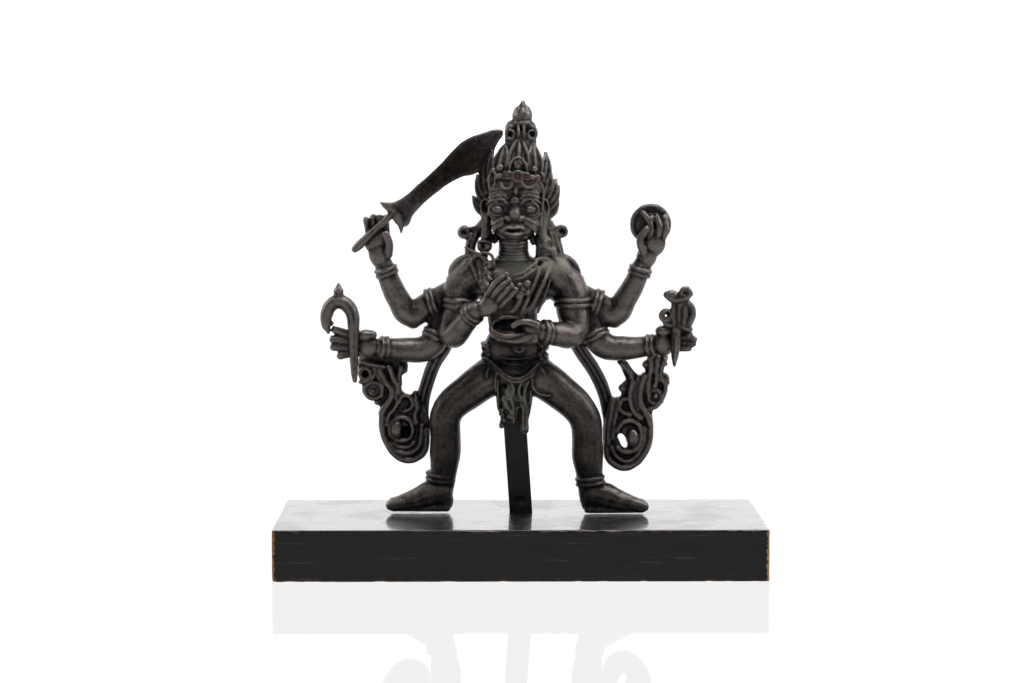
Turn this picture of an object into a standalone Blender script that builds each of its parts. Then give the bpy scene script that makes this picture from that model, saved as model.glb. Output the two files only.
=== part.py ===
"""A small bronze of a six-armed, crowned guardian deity, held up by a square post on a lacquered block.

Three pieces: the figure, cast in one with its attributes, scarf and jewellery; the post, whose foot
stands in a mortise in the block and whose head goes up into a socket in the figure's pelvis; and the
block. Metres, +Z up, the origin under the middle of the block, the figure facing -Y.
"""

import math

import bmesh
import bpy
from mathutils import Matrix, Vector

# The block
BASE_WIDTH = 0.200
BASE_DEPTH = 0.080
BASE_HEIGHT = 0.021
BASE_EASE = 0.0006

# The figure: its height over the block's top drives all of its own forms, which are given in parts
# of that height
FIGURE_HEIGHT = 0.172
FIGURE_PARTS = 172.0
UNIT = FIGURE_HEIGHT / FIGURE_PARTS

# The post, and how it is let into the block and the figure
POST_WIDTH = 0.0095
POST_DEPTH = 0.006
POST_LEAN = math.radians(3.9)
POST_X = 0.0006
POST_FRONT = 0.004
POST_FOOT_DEPTH = 0.010
POST_SOCKET_PARTS = 62.0
FIT_GAP = 0.0003

# How finely the figure's skin is drawn, in parts of its height
FLESH_VOXEL = 0.9
SKIN_VOXEL = 0.65
FIGURE_TRIANGLES = 8500

# Places on the figure that several of its forms share, in parts of its height
FACE_X = -2.2
EYE_Z = 127.6
LEFT_SOLE = 1.1
RIGHT_SOLE = 0.4

for leftover in list(bpy.data.objects):
    bpy.data.objects.remove(leftover)


def new_collection(name):
    """A collection linked to the scene."""
    collection = bpy.data.collections.new(name)
    bpy.context.scene.collection.children.link(collection)
    return collection


STATUE = new_collection("shiva_statue")
CUTTERS = new_collection("cutters")


def material(name, colour, roughness, metallic):
    """A plain Principled material."""
    made = bpy.data.materials.new(name)
    made.use_nodes = True
    shader = made.node_tree.nodes["Principled BSDF"]
    shader.inputs["Base Color"].default_value = (*colour, 1.0)
    shader.inputs["Roughness"].default_value = roughness
    shader.inputs["Metallic"].default_value = metallic
    return made


def at(x, y, z):
    """A point of the figure in metres, from its own parts: x right, y away, z over the block's top."""
    return Vector((x * UNIT, y * UNIT, z * UNIT))


def link(name, mesh, collection):
    """A new object in a collection."""
    made = bpy.data.objects.new(name, mesh)
    collection.objects.link(made)
    return made


def evaluated_mesh(piece):
    """The mesh that a piece has after its modifiers, in world space."""
    bpy.context.view_layer.update()
    seen = piece.evaluated_get(bpy.context.evaluated_depsgraph_get())
    mesh = bpy.data.meshes.new_from_object(seen)
    mesh.transform(piece.matrix_world)
    return mesh


def unit_ball():
    """A ball of radius one, which every egg is a stretched copy of."""
    mesh = bpy.data.meshes.new("ball")
    shape = bmesh.new()
    bmesh.ops.create_uvsphere(shape, u_segments=20, v_segments=12, radius=1.0)
    shape.to_mesh(mesh)
    shape.free()
    return mesh


BALL = unit_ball()


class Wax:
    """A lump of modelling wax: simple forms pressed together, then melted into one skin."""

    def __init__(self, name):
        self.name = name
        self.solids = []
        self.curves = []

    def ball(self, centre, radii, turn=0.0):
        """An egg; radii is one number or (across, deep, high), turn leans it sideways, in degrees."""
        size = radii if isinstance(radii, tuple) else (radii, radii, radii)
        place = Matrix.Translation(at(*centre)) @ Matrix.Rotation(math.radians(turn), 4, "Y")
        stretch = Matrix.Diagonal((*[r * UNIT for r in size], 1.0))
        egg = BALL.copy()
        egg.transform(place @ stretch)
        self.solids.append(egg)

    def rod(self, points, radii, flat=1.0, closed=False):
        """A round bar through points; radii is one number or one a point, flat squeezes its depth."""
        sizes = radii if isinstance(radii, (list, tuple)) else [radii] * len(points)
        curve = bpy.data.curves.new("rod", "CURVE")
        curve.dimensions = "3D"
        curve.bevel_depth = 1.0
        curve.bevel_resolution = 3
        curve.resolution_u = 5
        curve.use_fill_caps = True
        spline = curve.splines.new("BEZIER")
        spline.bezier_points.add(len(points) - 1)
        spline.use_cyclic_u = closed
        middle = sum(p[1] for p in points) / len(points)
        for knot, (x, y, z), radius in zip(spline.bezier_points, points, sizes):
            knot.co = at(x, middle + (y - middle) / flat, z)
            knot.radius = radius * UNIT
            knot.handle_left_type = knot.handle_right_type = "AUTO"
        bar = link("rod", curve, CUTTERS)
        bar.scale.y = flat
        bar.location.y = middle * UNIT * (1.0 - flat)
        self.curves.append(bar)
        if not closed:
            for end, radius in ((points[0], sizes[0]), (points[-1], sizes[-1])):
                self.ball(end, (radius, radius * flat, radius))

    def ring(self, centre, axis, radius, wire):
        """A bangle round an axis."""
        turn = Vector((0, 0, 1)).rotation_difference(Vector(axis))
        steps = [2 * math.pi * n / 8 for n in range(8)]
        round_it = [turn @ Vector((radius * math.cos(a), radius * math.sin(a), 0)) for a in steps]
        self.rod([tuple(Vector(centre) + p) for p in round_it], wire, closed=True)

    def plate(self, outline, thickness, root=(0.0, 0.0, 0.0), turn=0.0, lean=0.0, holes=()):
        """A leaf whose outline is (across, up) from its root, turned about the upright, then leant back."""
        curve = bpy.data.curves.new("plate", "CURVE")
        curve.dimensions = "2D"
        curve.fill_mode = "BOTH"
        curve.extrude = thickness * UNIT / 2
        curve.resolution_u = 5
        for ring in (outline, *holes):
            spline = curve.splines.new("BEZIER")
            spline.bezier_points.add(len(ring) - 1)
            spline.use_cyclic_u = True
            for knot, (across, up) in zip(spline.bezier_points, ring):
                knot.co = (across * UNIT, up * UNIT, 0.0)
                knot.handle_left_type = knot.handle_right_type = "AUTO"
        leaf = link("plate", curve, CUTTERS)
        leaf.location = at(*root)
        leaf.rotation_euler = (math.radians(90.0 - lean), 0.0, math.radians(turn))
        self.curves.append(leaf)

    def add_mesh(self, mesh):
        """Wax that is already in shape."""
        self.solids.append(mesh)

    def pressed(self):
        """One mesh of all the forms, which still run through each other."""
        points = []
        faces = []
        for solid in self.solids:
            first = len(points)
            points.extend(vertex.co.copy() for vertex in solid.vertices)
            faces.extend([first + corner for corner in face.vertices] for face in solid.polygons)
        mesh = bpy.data.meshes.new(self.name)
        mesh.from_pydata(points, [], faces)
        return mesh

    def melt(self, voxel, rounds):
        """One skin round everything in the lump, smoothed a number of rounds."""
        bpy.context.view_layer.update()
        seen = bpy.context.evaluated_depsgraph_get()
        for curve in self.curves:
            mesh = bpy.data.meshes.new_from_object(curve.evaluated_get(seen))
            mesh.transform(curve.matrix_world)
            self.solids.append(mesh)
        for curve in self.curves:
            bpy.data.objects.remove(curve)
        lump = link(self.name, self.pressed(), CUTTERS)
        skin = lump.modifiers.new("skin", "REMESH")
        skin.mode = "VOXEL"
        skin.voxel_size = voxel * UNIT
        soften = lump.modifiers.new("soften", "SMOOTH")
        soften.factor = 0.5
        soften.iterations = rounds
        melted = evaluated_mesh(lump)
        bpy.data.objects.remove(lump)
        return melted


def body(wax):
    """Trunk, head and neck."""
    wax.ball((-2, 3.5, 98), (15.5, 8.6, 10.5))
    wax.ball((-2, 5.5, 94), (14.5, 8, 12))
    wax.ball((-3, 3, 83), (10.5, 8, 13))
    wax.ball((-2.6, 2, 70), (12, 9, 10.5))
    wax.ball((-2, 4, 59.5), (15.5, 9, 8.5))
    for side in (-1, 1):
        wax.ball((-2 + side * 16, 4, 99.5), (8, 7.2, 7.5))
        wax.ball((-2 + side * 7, 9.5, 57), (8.5, 6, 8))
        wax.ball((-2 + side * 7.5, -1.5, 99), (7, 4, 5))
        wax.ball((-2 + side * 7, 9, 98), (7.5, 4.5, 7))
    wax.rod([(-2, 3.5, 101), (-2, 3.2, 105.5), (-2, 3, 117)], [7.4, 5.6, 5.4])
    wax.ball((FACE_X, 3, 127), (10.6, 10, 12))
    wax.ball((FACE_X, -1.8, 126.6), (10.2, 7.0, 11))
    wax.ball((FACE_X, -1.2, 120.4), (9.8, 7.4, 5.6))
    wax.ball((FACE_X, -6.0, 118.6), (6.2, 3.4, 3.4))


def limbs(wax):
    """Two legs and six arms, to the wrists and ankles."""
    wax.rod([(-9.2, 4, 59.2), (-19.8, 2, 52.0), (-30.2, 0, 42.8), (-30.9, 1.5, 33), (-31, 2.5, 26),
             (-31.7, 3.5, 18), (-32.8, 4.5, 8)], [8.6, 7.6, 6.7, 6.4, 6.7, 5.7, 5.0])
    wax.rod([(5, 3, 59.6), (16.4, 0, 51.8), (26.6, -3, 41.2), (28.0, -2, 32), (28.2, -0.5, 25),
             (29.0, 0, 17.5), (29.8, 1, 7)], [8.6, 7.6, 6.7, 6.4, 6.7, 5.7, 5.0])
    wax.rod([(-18, 6, 97), (-27, 7, 92.3), (-39, 7, 86.8), (-45.2, 6, 83.2), (-50.1, 5, 89.4),
             (-53.5, 4, 96.5), (-56.0, 3, 104)], [6.4, 5.9, 5.5, 5.2, 4.9, 4.5, 4.0])
    wax.rod([(14, 6, 97), (23, 7, 91.9), (34.2, 7, 86.6), (39.8, 6, 83.6), (44.2, 5, 89.5),
             (47.6, 4, 95.8), (50.8, 3, 103.5)], [6.4, 5.8, 5.5, 5.3, 4.9, 4.5, 4.0])
    wax.rod([(-22, 6, 93), (-31, 7, 83), (-33.8, 6, 75), (-38.5, 5, 69.5), (-47.7, 4, 68.6),
             (-57.5, 2, 69.6)], [6.2, 5.8, 5.5, 5.4, 5.1, 4.2])
    wax.rod([(18, 6, 93), (28.5, 7, 83), (31, 6, 75), (35.2, 5, 70.0), (44, 4, 69.1), (54.5, 2, 70.5)],
            [6.2, 5.8, 5.5, 5.4, 5.0, 4.1])
    wax.rod([(-19, 3, 101), (-24.6, 3, 95), (-25.6, 2, 86), (-28, 0, 75.5), (-23.3, -6, 80),
             (-18.5, -11, 86)], [7.4, 6.6, 6.2, 5.8, 4.9, 4.2])
    wax.rod([(15, 3, 101), (20.8, 3, 94), (21.9, 1, 86), (21.8, -3, 76.5), (15, -9, 76.3), (9, -12, 77.4)],
            [7.6, 7.2, 7.0, 6.0, 5.2, 4.4])
    wax.ball((-44.2, 6, 80.2), 3.2)
    wax.ball((39.4, 6, 80.4), 3.2)


def foot(wax, heel, way, y, sole):
    """A flat foot from its heel's place along x; way is the side it points to, sole its height."""
    instep = ((5.2, 13.6, 5.2), (10.4, 12.4, 5.2), (14.2, 10.2, 4.5), (18.4, 8.2, 3.8), (22.6, 6.5, 3.1),
              (24.6, 5.8, 2.7))
    wax.ball((heel + way * 4.6, y, sole + 4.4), (4.8, 4.8, 5.0))
    for across, share in ((-2.0, 1.0), (1.9, 0.92)):
        line = [(heel + way * along * share, y + across, sole + top * share - radius)
                for along, top, radius in instep]
        wax.rod(line, [radius * share for _, _, radius in instep])
    for toe in range(5):
        across = y - 3.2 + toe * 1.8
        thick = 2.3 if toe == 0 else 1.6
        reach = heel + way * (28.0 - thick - toe * toe * 0.3)
        tip = (reach, across, sole + thick + 0.3)
        wax.rod([(heel + way * 18, across, sole + 4.4), tip], [thick * 1.1, thick])


def finger(wax, points, radius):
    """A finger that thins a little to its tip."""
    wax.rod(points, [radius * (1.08 - 0.2 * n / (len(points) - 1)) for n in range(len(points))])


def sword_hand(wax):
    """The raised hand at the left of the view, its sword held across the crown."""
    wax.ball((-57.9, 2, 109), (4.8, 3.5, 6.4), turn=-12)
    wax.ball((-59.2, 2, 114), (5.0, 3.2, 5.4), turn=-8)
    fingers = ((-62.4, (-63.4, 122.6)), (-60.0, (-60.6, 123.8)), (-57.8, (-57.9, 123.6)),
               (-55.4, (-55.4, 123.6)))
    for root, tip in fingers:
        finger(wax, [(root, 3, 113), (root + 0.2, 3.2, 118), (tip[0], 0.8, tip[1])], 1.5)
    finger(wax, [(-54.6, 0.5, 109), (-54.0, -2, 113.6), (-55.4, -3.1, 117.2)], 1.8)
    wax.rod([(-67.9, -1, 110.8), (-66.2, -1, 112.4), (-60.6, -1, 117.8), (-53.0, -1, 125.0)],
            [1.5, 1.9, 1.6, 1.6])
    wax.rod([(-52.0, -1, 126.8), (-55.4, -1, 128.8), (-57.2, -1, 129.9)], [2.2, 1.5, 0.7])
    wax.rod([(-50.4, -1, 124.4), (-49.2, -1, 121.2), (-48.9, -1, 117.8)], [2.2, 1.5, 0.7])
    blade = [(-54.4, 128.4), (-51.0, 130.4), (-48.8, 131.6), (-41.6, 137.7), (-33.3, 145.2), (-27.2, 151.8),
             (-23.1, 155.4), (-16.0, 158.4), (-7.4, 159.9), (-7.0, 158.6), (-8.9, 155.0), (-13.1, 147.3),
             (-17.7, 142.4), (-25.1, 140.2), (-35.4, 133.4), (-44.0, 125.1), (-47.2, 120.4), (-49.6, 121.6),
             (-52.5, 124.7)]
    hilt_x = -52.0
    wax.plate([(x - hilt_x, z) for x, z in blade], 2.0, root=(hilt_x, -1.0, 0.0), turn=5.0)


def disc_hand(wax):
    """The raised hand at the right of the view, with its disc."""
    wax.ball((52.6, 2.2, 107.6), (4.4, 3.4, 5.8), turn=18)
    wax.ball((55.4, 2.0, 112.8), (5.0, 3.4, 5.8), turn=20)
    finger(wax, [(51.2, 0, 109.4), (49.8, -1, 114.6), (52.2, -0.6, 118.9)], 1.8)
    for points in ([(53.4, 0.8, 114), (54.2, 0.2, 119), (52.6, 0.2, 123.4), (51.0, 0.4, 125.4)],
                   [(56.2, 0.8, 114), (57.6, 0, 119.5), (56.6, 0.8, 124)],
                   [(58.4, 1.4, 113.5), (60.4, 0.6, 119.0), (59.8, 1.4, 123.6)],
                   [(57, 5, 113), (58, 6, 119), (56, 5.6, 123)]):
        finger(wax, points, 1.5)
    radius = 8.5
    steps = [math.radians(45 * n) for n in range(8)]
    edge = [(54.3 + radius * math.cos(a), 120.8 + radius * math.sin(a)) for a in steps]
    wax.plate(edge, 2.6, root=(0, 3, 0))
    wax.ring((54.3, 2.2, 120.8), (0, 1, 0), radius - 1.0, 1.0)
    wax.ball((54.2, 1.6, 123.0), 2.2)


def goad_hand(wax):
    """The low hand at the left of the view, round the shaft of a hooked goad."""
    wax.ball((-63.4, 0.8, 70.6), (5.2, 4.2, 5.6))
    wax.ball((-63.6, -1.4, 75.2), (3.8, 3.1, 2.8))
    for n in range(4):
        height = 76.4 - 3.1 * n
        finger(wax, [(-65.6, 0.5, height - 0.8), (-71.4, -0.5, height), (-76.8 + 0.6 * n, -1.4, height)], 1.8)
    wax.rod([(-68.3, -4, 57.2), (-68.4, -4, 60), (-68.5, -4, 66), (-68.5, -4, 72.3), (-68.6, -3.6, 79.0),
             (-69.0, -3, 84.2), (-70.9, -3, 87.8), (-74.6, -3, 89.7), (-78.0, -3, 88.4), (-79.9, -3, 84.8),
             (-80.2, -3, 79.6), (-79.2, -3, 76.8)],
            [1.1, 1.6, 1.9, 2.1, 2.4, 2.5, 2.6, 2.6, 2.6, 2.4, 1.9, 1.0])
    wax.rod([(-74.7, -3, 90.6), (-74.7, -3, 93.8), (-74.7, -3, 95.8)], [1.8, 2.2, 1.1])


def sceptre_hand(wax):
    """The low hand at the right of the view, with half of a pronged sceptre."""
    wax.ball((59.9, 0.8, 71.6), (4.8, 4.2, 5.6))
    wax.ball((59.8, -1.1, 76.6), (3.8, 3.1, 2.7))
    for n in range(4):
        height = 76.6 - 2.3 * n
        finger(wax, [(63, 0.5, height - 0.4), (68.8, -0.6, height), (71.8 - 0.4 * n, -1.5, height)], 1.6)
    wax.rod([(63.9, -4, 63.4), (64.1, -4, 66.4), (64.4, -4, 70.6), (64.6, -3.8, 77), (64.6, -3.6, 89)],
            [1.1, 1.6, 2.1, 2.0, 2.0])
    wax.rod([(60.2, -3.6, 79.6), (64.6, -3.6, 79.0), (69.8, -3.6, 77.8)], 1.5)
    wax.rod([(66.0, -3.6, 87.8), (69.0, -3.6, 88.2), (71.0, -3.6, 84.8), (69.2, -3.6, 79.4)], 1.6)
    wax.rod([(68.0, -3.6, 86.6), (67.6, -3.6, 80.0)], 1.6)
    wax.ball((60.4, -3.6, 83.4), (3.0, 2.2, 3.0))
    wax.ball((62.8, -3.6, 91.8), (3.2, 2.2, 2.3))
    wax.ball((68.3, -3.8, 92.6), (2.9, 2.0, 2.9))
    wax.rod([(61.4, -3.6, 91.4), (65.6, -3.6, 90.4), (69.6, -3.6, 91.6)], 1.8)


def chest_hand(wax):
    """The left front hand, raised before the breast with a budded stem."""
    wax.ball((-12.2, -12.8, 88.8), (6.4, 3.2, 4.4), turn=-38)
    for root, middle, tip in (((-13.6, -13.6, 92.4), (-10.0, -15.6, 98.0), (-5.6, -14.6, 101.2)),
                              ((-11.8, -14.2, 91.2), (-8.0, -16.4, 96.0), (-4.6, -15.2, 98.9)),
                              ((-9.8, -14.4, 89.8), (-6.6, -16.6, 93.8), (-3.6, -15.6, 96.6)),
                              ((-7.8, -14.2, 88.2), (-5.0, -16.2, 91.4), (-1.8, -15.4, 94.9))):
        finger(wax, [root, middle, tip], 1.25)
    for x, z, radius in ((2.9, 97.4, 1.9), (1.4, 94.8, 1.9), (-0.6, 92.6, 1.9)):
        wax.ball((x, -13.6, z), radius)
    wax.rod([(2.9, -13.2, 97), (3.2, -13.0, 92), (1.6, -12.6, 87.4), (0.6, -11.6, 83.6)], 1.2)
    wax.rod([(0.8, -12, 95), (-1, -6, 93)], 2.2)


def bowl_hand(wax):
    """The right front hand over a skull bowl at the waist, whose mouth tips towards the viewer."""
    mouth = Vector((-3.8, -12.6, 79.6))
    inwards = Vector((0, 0.68, -0.73))
    across = Vector((0, 0.73, 0.68))
    steps = [math.radians(45 * n) for n in range(8)]
    for sunk, wide, wire in ((0.0, 1.0, 1.1), (1.6, 1.0, 1.3), (3.4, 0.84, 1.5), (5.0, 0.5, 1.8)):
        middle = mouth + inwards * sunk
        coil = [middle + Vector((8.1 * wide * math.cos(a), 0, 0)) + across * (5.2 * wide * math.sin(a))
                for a in steps]
        wax.rod([tuple(p) for p in coil], wire, closed=True)
    wax.ball((-3.8, -7.6, 74.6), (5.6, 4.0, 3.6))
    wax.ball((5.4, -13.4, 78.6), (4.6, 3.6, 4.4))
    finger(wax, [(6.8, -16.2, 80.6), (2.4, -17.0, 82.0), (-2.8, -15.8, 80.4)], 1.6)
    for n in range(3):
        finger(wax, [(5.8, -15.6, 76.4 - n), (-1, -16.2 + 1.4 * n, 74.2 - 0.7 * n),
                     (-8.4 + n, -14.6 + 1.4 * n, 74.8 - 0.5 * n)], 1.5)


def face(wax):
    """A wrathful mask: bulging eyes, knit brows, a broad nose and a grimace with folded cheeks."""
    wax.rod([(FACE_X, -7.0, 131), (FACE_X, -8.4, 127.8), (FACE_X, -9.8, 125.0)], [1.7, 1.7, 2.3])
    for side in (-1, 1):
        eye_x = FACE_X + side * 6.9
        wax.ball((FACE_X + side * 7.4, -5.0, 121.4), (3.6, 3.4, 3.8))
        wax.ball((FACE_X + side * 3.1, -9.2, 124.0), 1.7)
        wax.ball((eye_x, -7.2, EYE_Z), (3.2, 2.5, 2.2))
        brow = ((-4.9, 3.3, -9.2), (-2.9, 5.7, -9.4), (0.6, 5.9, -8.6), (4.6, 3.4, -6.0))
        wax.rod([(eye_x + side * across, y, EYE_Z + up) for across, up, y in brow], 1.2)
        fold = ((-2.4, -3.6, -8.6), (0.2, -5.4, -8.2), (1.4, -7.2, -7.2), (1.2, -9.2, -6.2))
        wax.rod([(eye_x + side * across, y, EYE_Z + up) for across, up, y in fold], 0.8)
    for low, high, y in ((119.2, 120.4, -9.8), (118.0, 117.0, -9.4)):
        wax.rod([(FACE_X - 4.6, y + 2.0, low), (FACE_X, y, high), (FACE_X + 4.6, y + 2.0, low)], 0.95)
    wax.rod([(FACE_X - 5.4, -5.4, 116.2), (FACE_X, -7.4, 115.2), (FACE_X + 5.4, -5.4, 116.2)], 1.2)


def ears(wax):
    """Long ears with round earrings, and hair that falls behind them."""
    wax.rod([(-13.2, 2, 131.4), (-14.4, 0.6, 128.4), (-14.0, 0.4, 124.6), (-14.2, 0.8, 120.6),
             (-14.6, 0.5, 116.0)],
            [1.9, 2.2, 2.0, 1.7, 1.7], flat=0.8)
    wax.rod([(9.2, 2, 131), (10.6, 0.6, 128), (10.4, 0.4, 124.6), (9.6, 0.8, 120.6), (9.4, 0.5, 116.6)],
            [1.9, 2.2, 1.9, 1.7, 1.8], flat=0.8)
    for x, y, low in ((10.2, 5.4, 106.0), (-14.6, 6.0, 107.4)):
        wax.rod([(x, y, 119.6), (x + 0.4, y, 113.4), (x, y - 2, low)], 1.8)
    wax.ball((-14.8, 0.5, 112.0), 3.0)
    wax.rod([(11.8, 2.6, 113.2), (12.4, -0.8, 113.0), (12.6, -2.6, 112.8)], [2.2, 2.9, 3.2])


def flame(wax, root, tip, width):
    """A pointed lock of hair from its root to its tip, about twice as wide as deep."""
    reach = [tuple(Vector(root).lerp(Vector(tip), share)) for share in (0.0, 0.35, 0.72, 1.0)]
    wax.rod(reach, [width * share for share in (0.40, 0.50, 0.30, 0.06)], flat=0.55)


def crown(wax):
    """Hair in rows of pointed locks, a brow band with jewels, a topknot and a bud finial."""
    wax.ball((-1.6, 3.5, 137.0), (12.4, 9.4, 10.0))
    wax.ball((-0.8, 3, 146), (9.0, 7.2, 8.4))
    front = (((-0.9, -6.6, 142.5), (-0.2, -2.4, 156.7), 8.2), ((-8.2, -5.2, 142.0), (-5.7, -0.6, 154.0), 6.2),
             ((6.0, -5.2, 141.5), (5.1, -0.6, 154.6), 6.2), ((-12.6, -1.6, 139), (-11.0, 1.8, 151.2), 5.4),
             ((9.2, -1.6, 139), (10.5, 1.8, 150.6), 5.4), ((-13.6, 0.6, 133.6), (-15.0, 3.4, 145.6), 5.0),
             ((10.4, 0.6, 135.4), (13.0, 3.4, 145.0), 4.6), ((-13.8, 1.8, 130.6), (-17.6, 4.0, 141.2), 4.6),
             ((10.8, 1.8, 130.8), (15.0, 4.0, 139.4), 4.8), ((-14.2, 2.8, 124.6), (-19.4, 4.6, 133.8), 4.4),
             ((10.4, 2.8, 126.2), (15.4, 4.6, 132.4), 5.2), ((9.8, 3.4, 123.0), (14.2, 4.8, 127.6), 4.8))
    back = (((-1.4, 11.4, 138), (-0.6, 8.0, 155), 9.0), ((-8.4, 9.8, 137), (-6.6, 6.4, 152.6), 8.0),
            ((5.8, 9.8, 137), (5.4, 6.4, 152.6), 8.0), ((-12.0, 6.4, 134), (-12.0, 5.2, 147.2), 6.0),
            ((9.4, 6.4, 134), (10.8, 5.2, 146.6), 6.0), ((-1.6, 12.2, 124), (-1.4, 12.0, 140), 9.0),
            ((-8.2, 10.4, 123), (-9.4, 10.0, 138.4), 8.0), ((5.2, 10.4, 123), (6.6, 10.0, 138.4), 8.0),
            ((-11.4, 6.6, 121.5), (-14.4, 6.0, 133.6), 6.0), ((8.0, 6.6, 121.5), (11.6, 6.0, 133.2), 6.0),
            ((-1.8, 11.0, 112), (-1.7, 12.0, 127), 8.0), ((-7.4, 8.8, 112), (-8.0, 10.2, 126), 7.0),
            ((4.0, 8.8, 112), (4.6, 10.2, 126), 7.0))
    for root, tip, width in front + back:
        flame(wax, root, tip, width)
    brow = [(-13, -1, 135.4), (-8.5, -6.6, 136.0), (-1.2, -9.0, 137), (5.6, -6.8, 136.0), (9.8, -1, 135.4)]
    wax.rod(brow, 1.3)
    wax.ball((-1.0, -9.0, 141.0), (2.7, 1.6, 2.7))
    for x, y, z in ((-8.4, -7.8, 142.4), (6.2, -7.6, 141.6)):
        wax.ball((x, y, z), 1.7)
    wax.rod([(0.2, 2, 150), (0.3, 2, 154.5)], [6.2, 5.8])
    wax.ball((0.4, 2, 158.2), (6.3, 5.2, 4.8))
    for x in (-3.7, 4.8):
        wax.ring((x, -3.0, 158.4), (0, 1, 0), 2.2, 0.9)
    wax.ring((0.9, 2, 162.6), (0, 0, 1), 3.8, 0.9)
    wax.rod([(0.9, 2, 163.0), (1.0, 2, 165.6), (1.1, 2, 168.4), (1.3, 2, 171.2)], [3.3, 4.1, 3.2, 0.8])


def scarf(wax):
    """A stiff scarf that stands off the shoulders and falls in bands on both sides."""
    wax.rod([(-15.2, 5, 121.5), (-18.4, 6, 116.8), (-20.4, 6, 111.6), (-20.4, 5.4, 107)],
            [1.9, 2.5, 2.5, 2.5], flat=0.8)
    wax.rod([(12.2, 5, 121.0), (13.6, 6, 116.6), (15.0, 6, 111.4), (16.2, 5.6, 106.6)],
            [2.1, 2.8, 3.0, 3.0], flat=0.8)
    wax.rod([(-19.6, 5, 106.6), (-24.4, 4.6, 105.0), (-27.2, 4.6, 102.0), (-28.2, 5, 99), (-28.3, 6, 96.4)],
            [2.6, 2.7, 2.5, 1.9, 1.0])
    wax.rod([(15.6, 5, 106.8), (20.4, 4.6, 105.0), (22.8, 4.8, 102.2), (24.2, 5.2, 98.8), (24.8, 6, 96.0)],
            [2.8, 2.7, 2.4, 1.9, 1.0])
    wax.ball((-23.0, 6, 117.4), (2.9, 2.4, 2.9))
    wax.ball((17.0, 6, 117.8), (3.0, 2.4, 3.0))
    wax.rod([(-21.4, 6, 118.5), (-18.4, 6, 118.9), (-15.2, 5, 120.8), (-12, 5, 122)], 1.7)
    wax.rod([(14.4, 6, 117.4), (12.0, 5, 119.6), (8.6, 5, 121.4)], 1.7)
    wax.rod([(-27.5, 9, 97), (-16, 12, 92), (-2, 13.4, 89), (12, 12, 92), (24, 9, 97)], 3.2, flat=0.55)
    wax.rod([(-27, 9, 78), (-31.6, 9, 68.6), (-35.4, 9, 62.4), (-38.2, 9, 55.4), (-40.2, 9, 48),
             (-40.8, 9, 40), (-40.4, 9, 33)], [3.3, 3.3, 3.2, 3.2, 3.2, 3.2, 3.0], flat=0.6)
    wax.rod([(21, 9, 77), (25.0, 9, 68.4), (30.6, 9, 59.7), (34.6, 9, 51.8), (36.9, 9, 44), (38.0, 9, 36),
             (38, 9, 28)], [3.3, 3.3, 3.2, 3.2, 3.2, 3.2, 3.0], flat=0.6)


def scrolls(wax):
    """The curled ends of the scarf, flat castings under the low arms."""
    left = [(-65.6, 66), (-66.8, 60), (-66.9, 56.6), (-65.9, 53.9), (-65.4, 50.1), (-63.4, 47.6),
            (-59.9, 46.6), (-58.6, 44), (-58.6, 39.4), (-58.0, 34.3), (-57.1, 29.6), (-54.5, 25.4),
            (-50.8, 21.7), (-46.6, 20.3), (-42.4, 21.4), (-38.8, 24.5), (-37.6, 30), (-37.6, 38),
            (-39.4, 45), (-43.5, 49.2), (-47.9, 50.6), (-49.2, 53), (-49.2, 57.1), (-47.0, 60), (-49, 66)]
    wax.plate(left, 3.6, root=(0, 8, 0))
    right = [(41.8, 65), (42.4, 61), (43.4, 58.2), (44.3, 55.4), (42.0, 54.0), (41.4, 51.4), (41.8, 48.8),
             (38.6, 47.0), (36.8, 42), (35.4, 36), (34.8, 28), (35.8, 22.1), (38.8, 18.8), (43.5, 17.1),
             (48.7, 18.8), (52.9, 23.1), (55.3, 28.2), (56.2, 34.4), (55.8, 39.1), (56.0, 42.4), (59.1, 45.4),
             (60.8, 49.9), (62.3, 53.2), (62.2, 56.2), (60.8, 58.8), (61.4, 66), (52, 67)]
    eye = [(41.2, 31), (42.4, 28), (44.3, 29), (44.6, 32), (43.6, 34.6), (41.8, 33.8)]
    wax.plate(right, 3.6, root=(0, 8, 0), holes=[eye])
    for centre, radius in (((-48.2, 35), 5.6), ((46, 31.4), 6.0), ((-61, 52.4), 3.6), ((56.2, 50), 4.0)):
        wax.ring((centre[0], 6.4, centre[1]), (0, 1, 0), radius, 1.2)
    wax.ball((-50, 6.6, 36), (3.2, 2.2, 3.6))
    wax.ball((48.6, 6.6, 32.4), (3.0, 2.2, 3.6))
    for outer in ([(-57, 44), (-57, 34), (-53, 25.5), (-46.7, 22.6), (-40.8, 26), (-39, 34)],
                  [(38.6, 34), (37.4, 25), (43.2, 19.6), (49.6, 23), (53.6, 31), (53.6, 40)],
                  [(-61, 63), (-56, 60), (-54.6, 52), (-57, 45)],
                  [(57, 63), (52.6, 60), (51.4, 53), (53.4, 46)]):
        wax.rod([(x, 6.4, z) for x, z in outer], 1.3)


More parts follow.
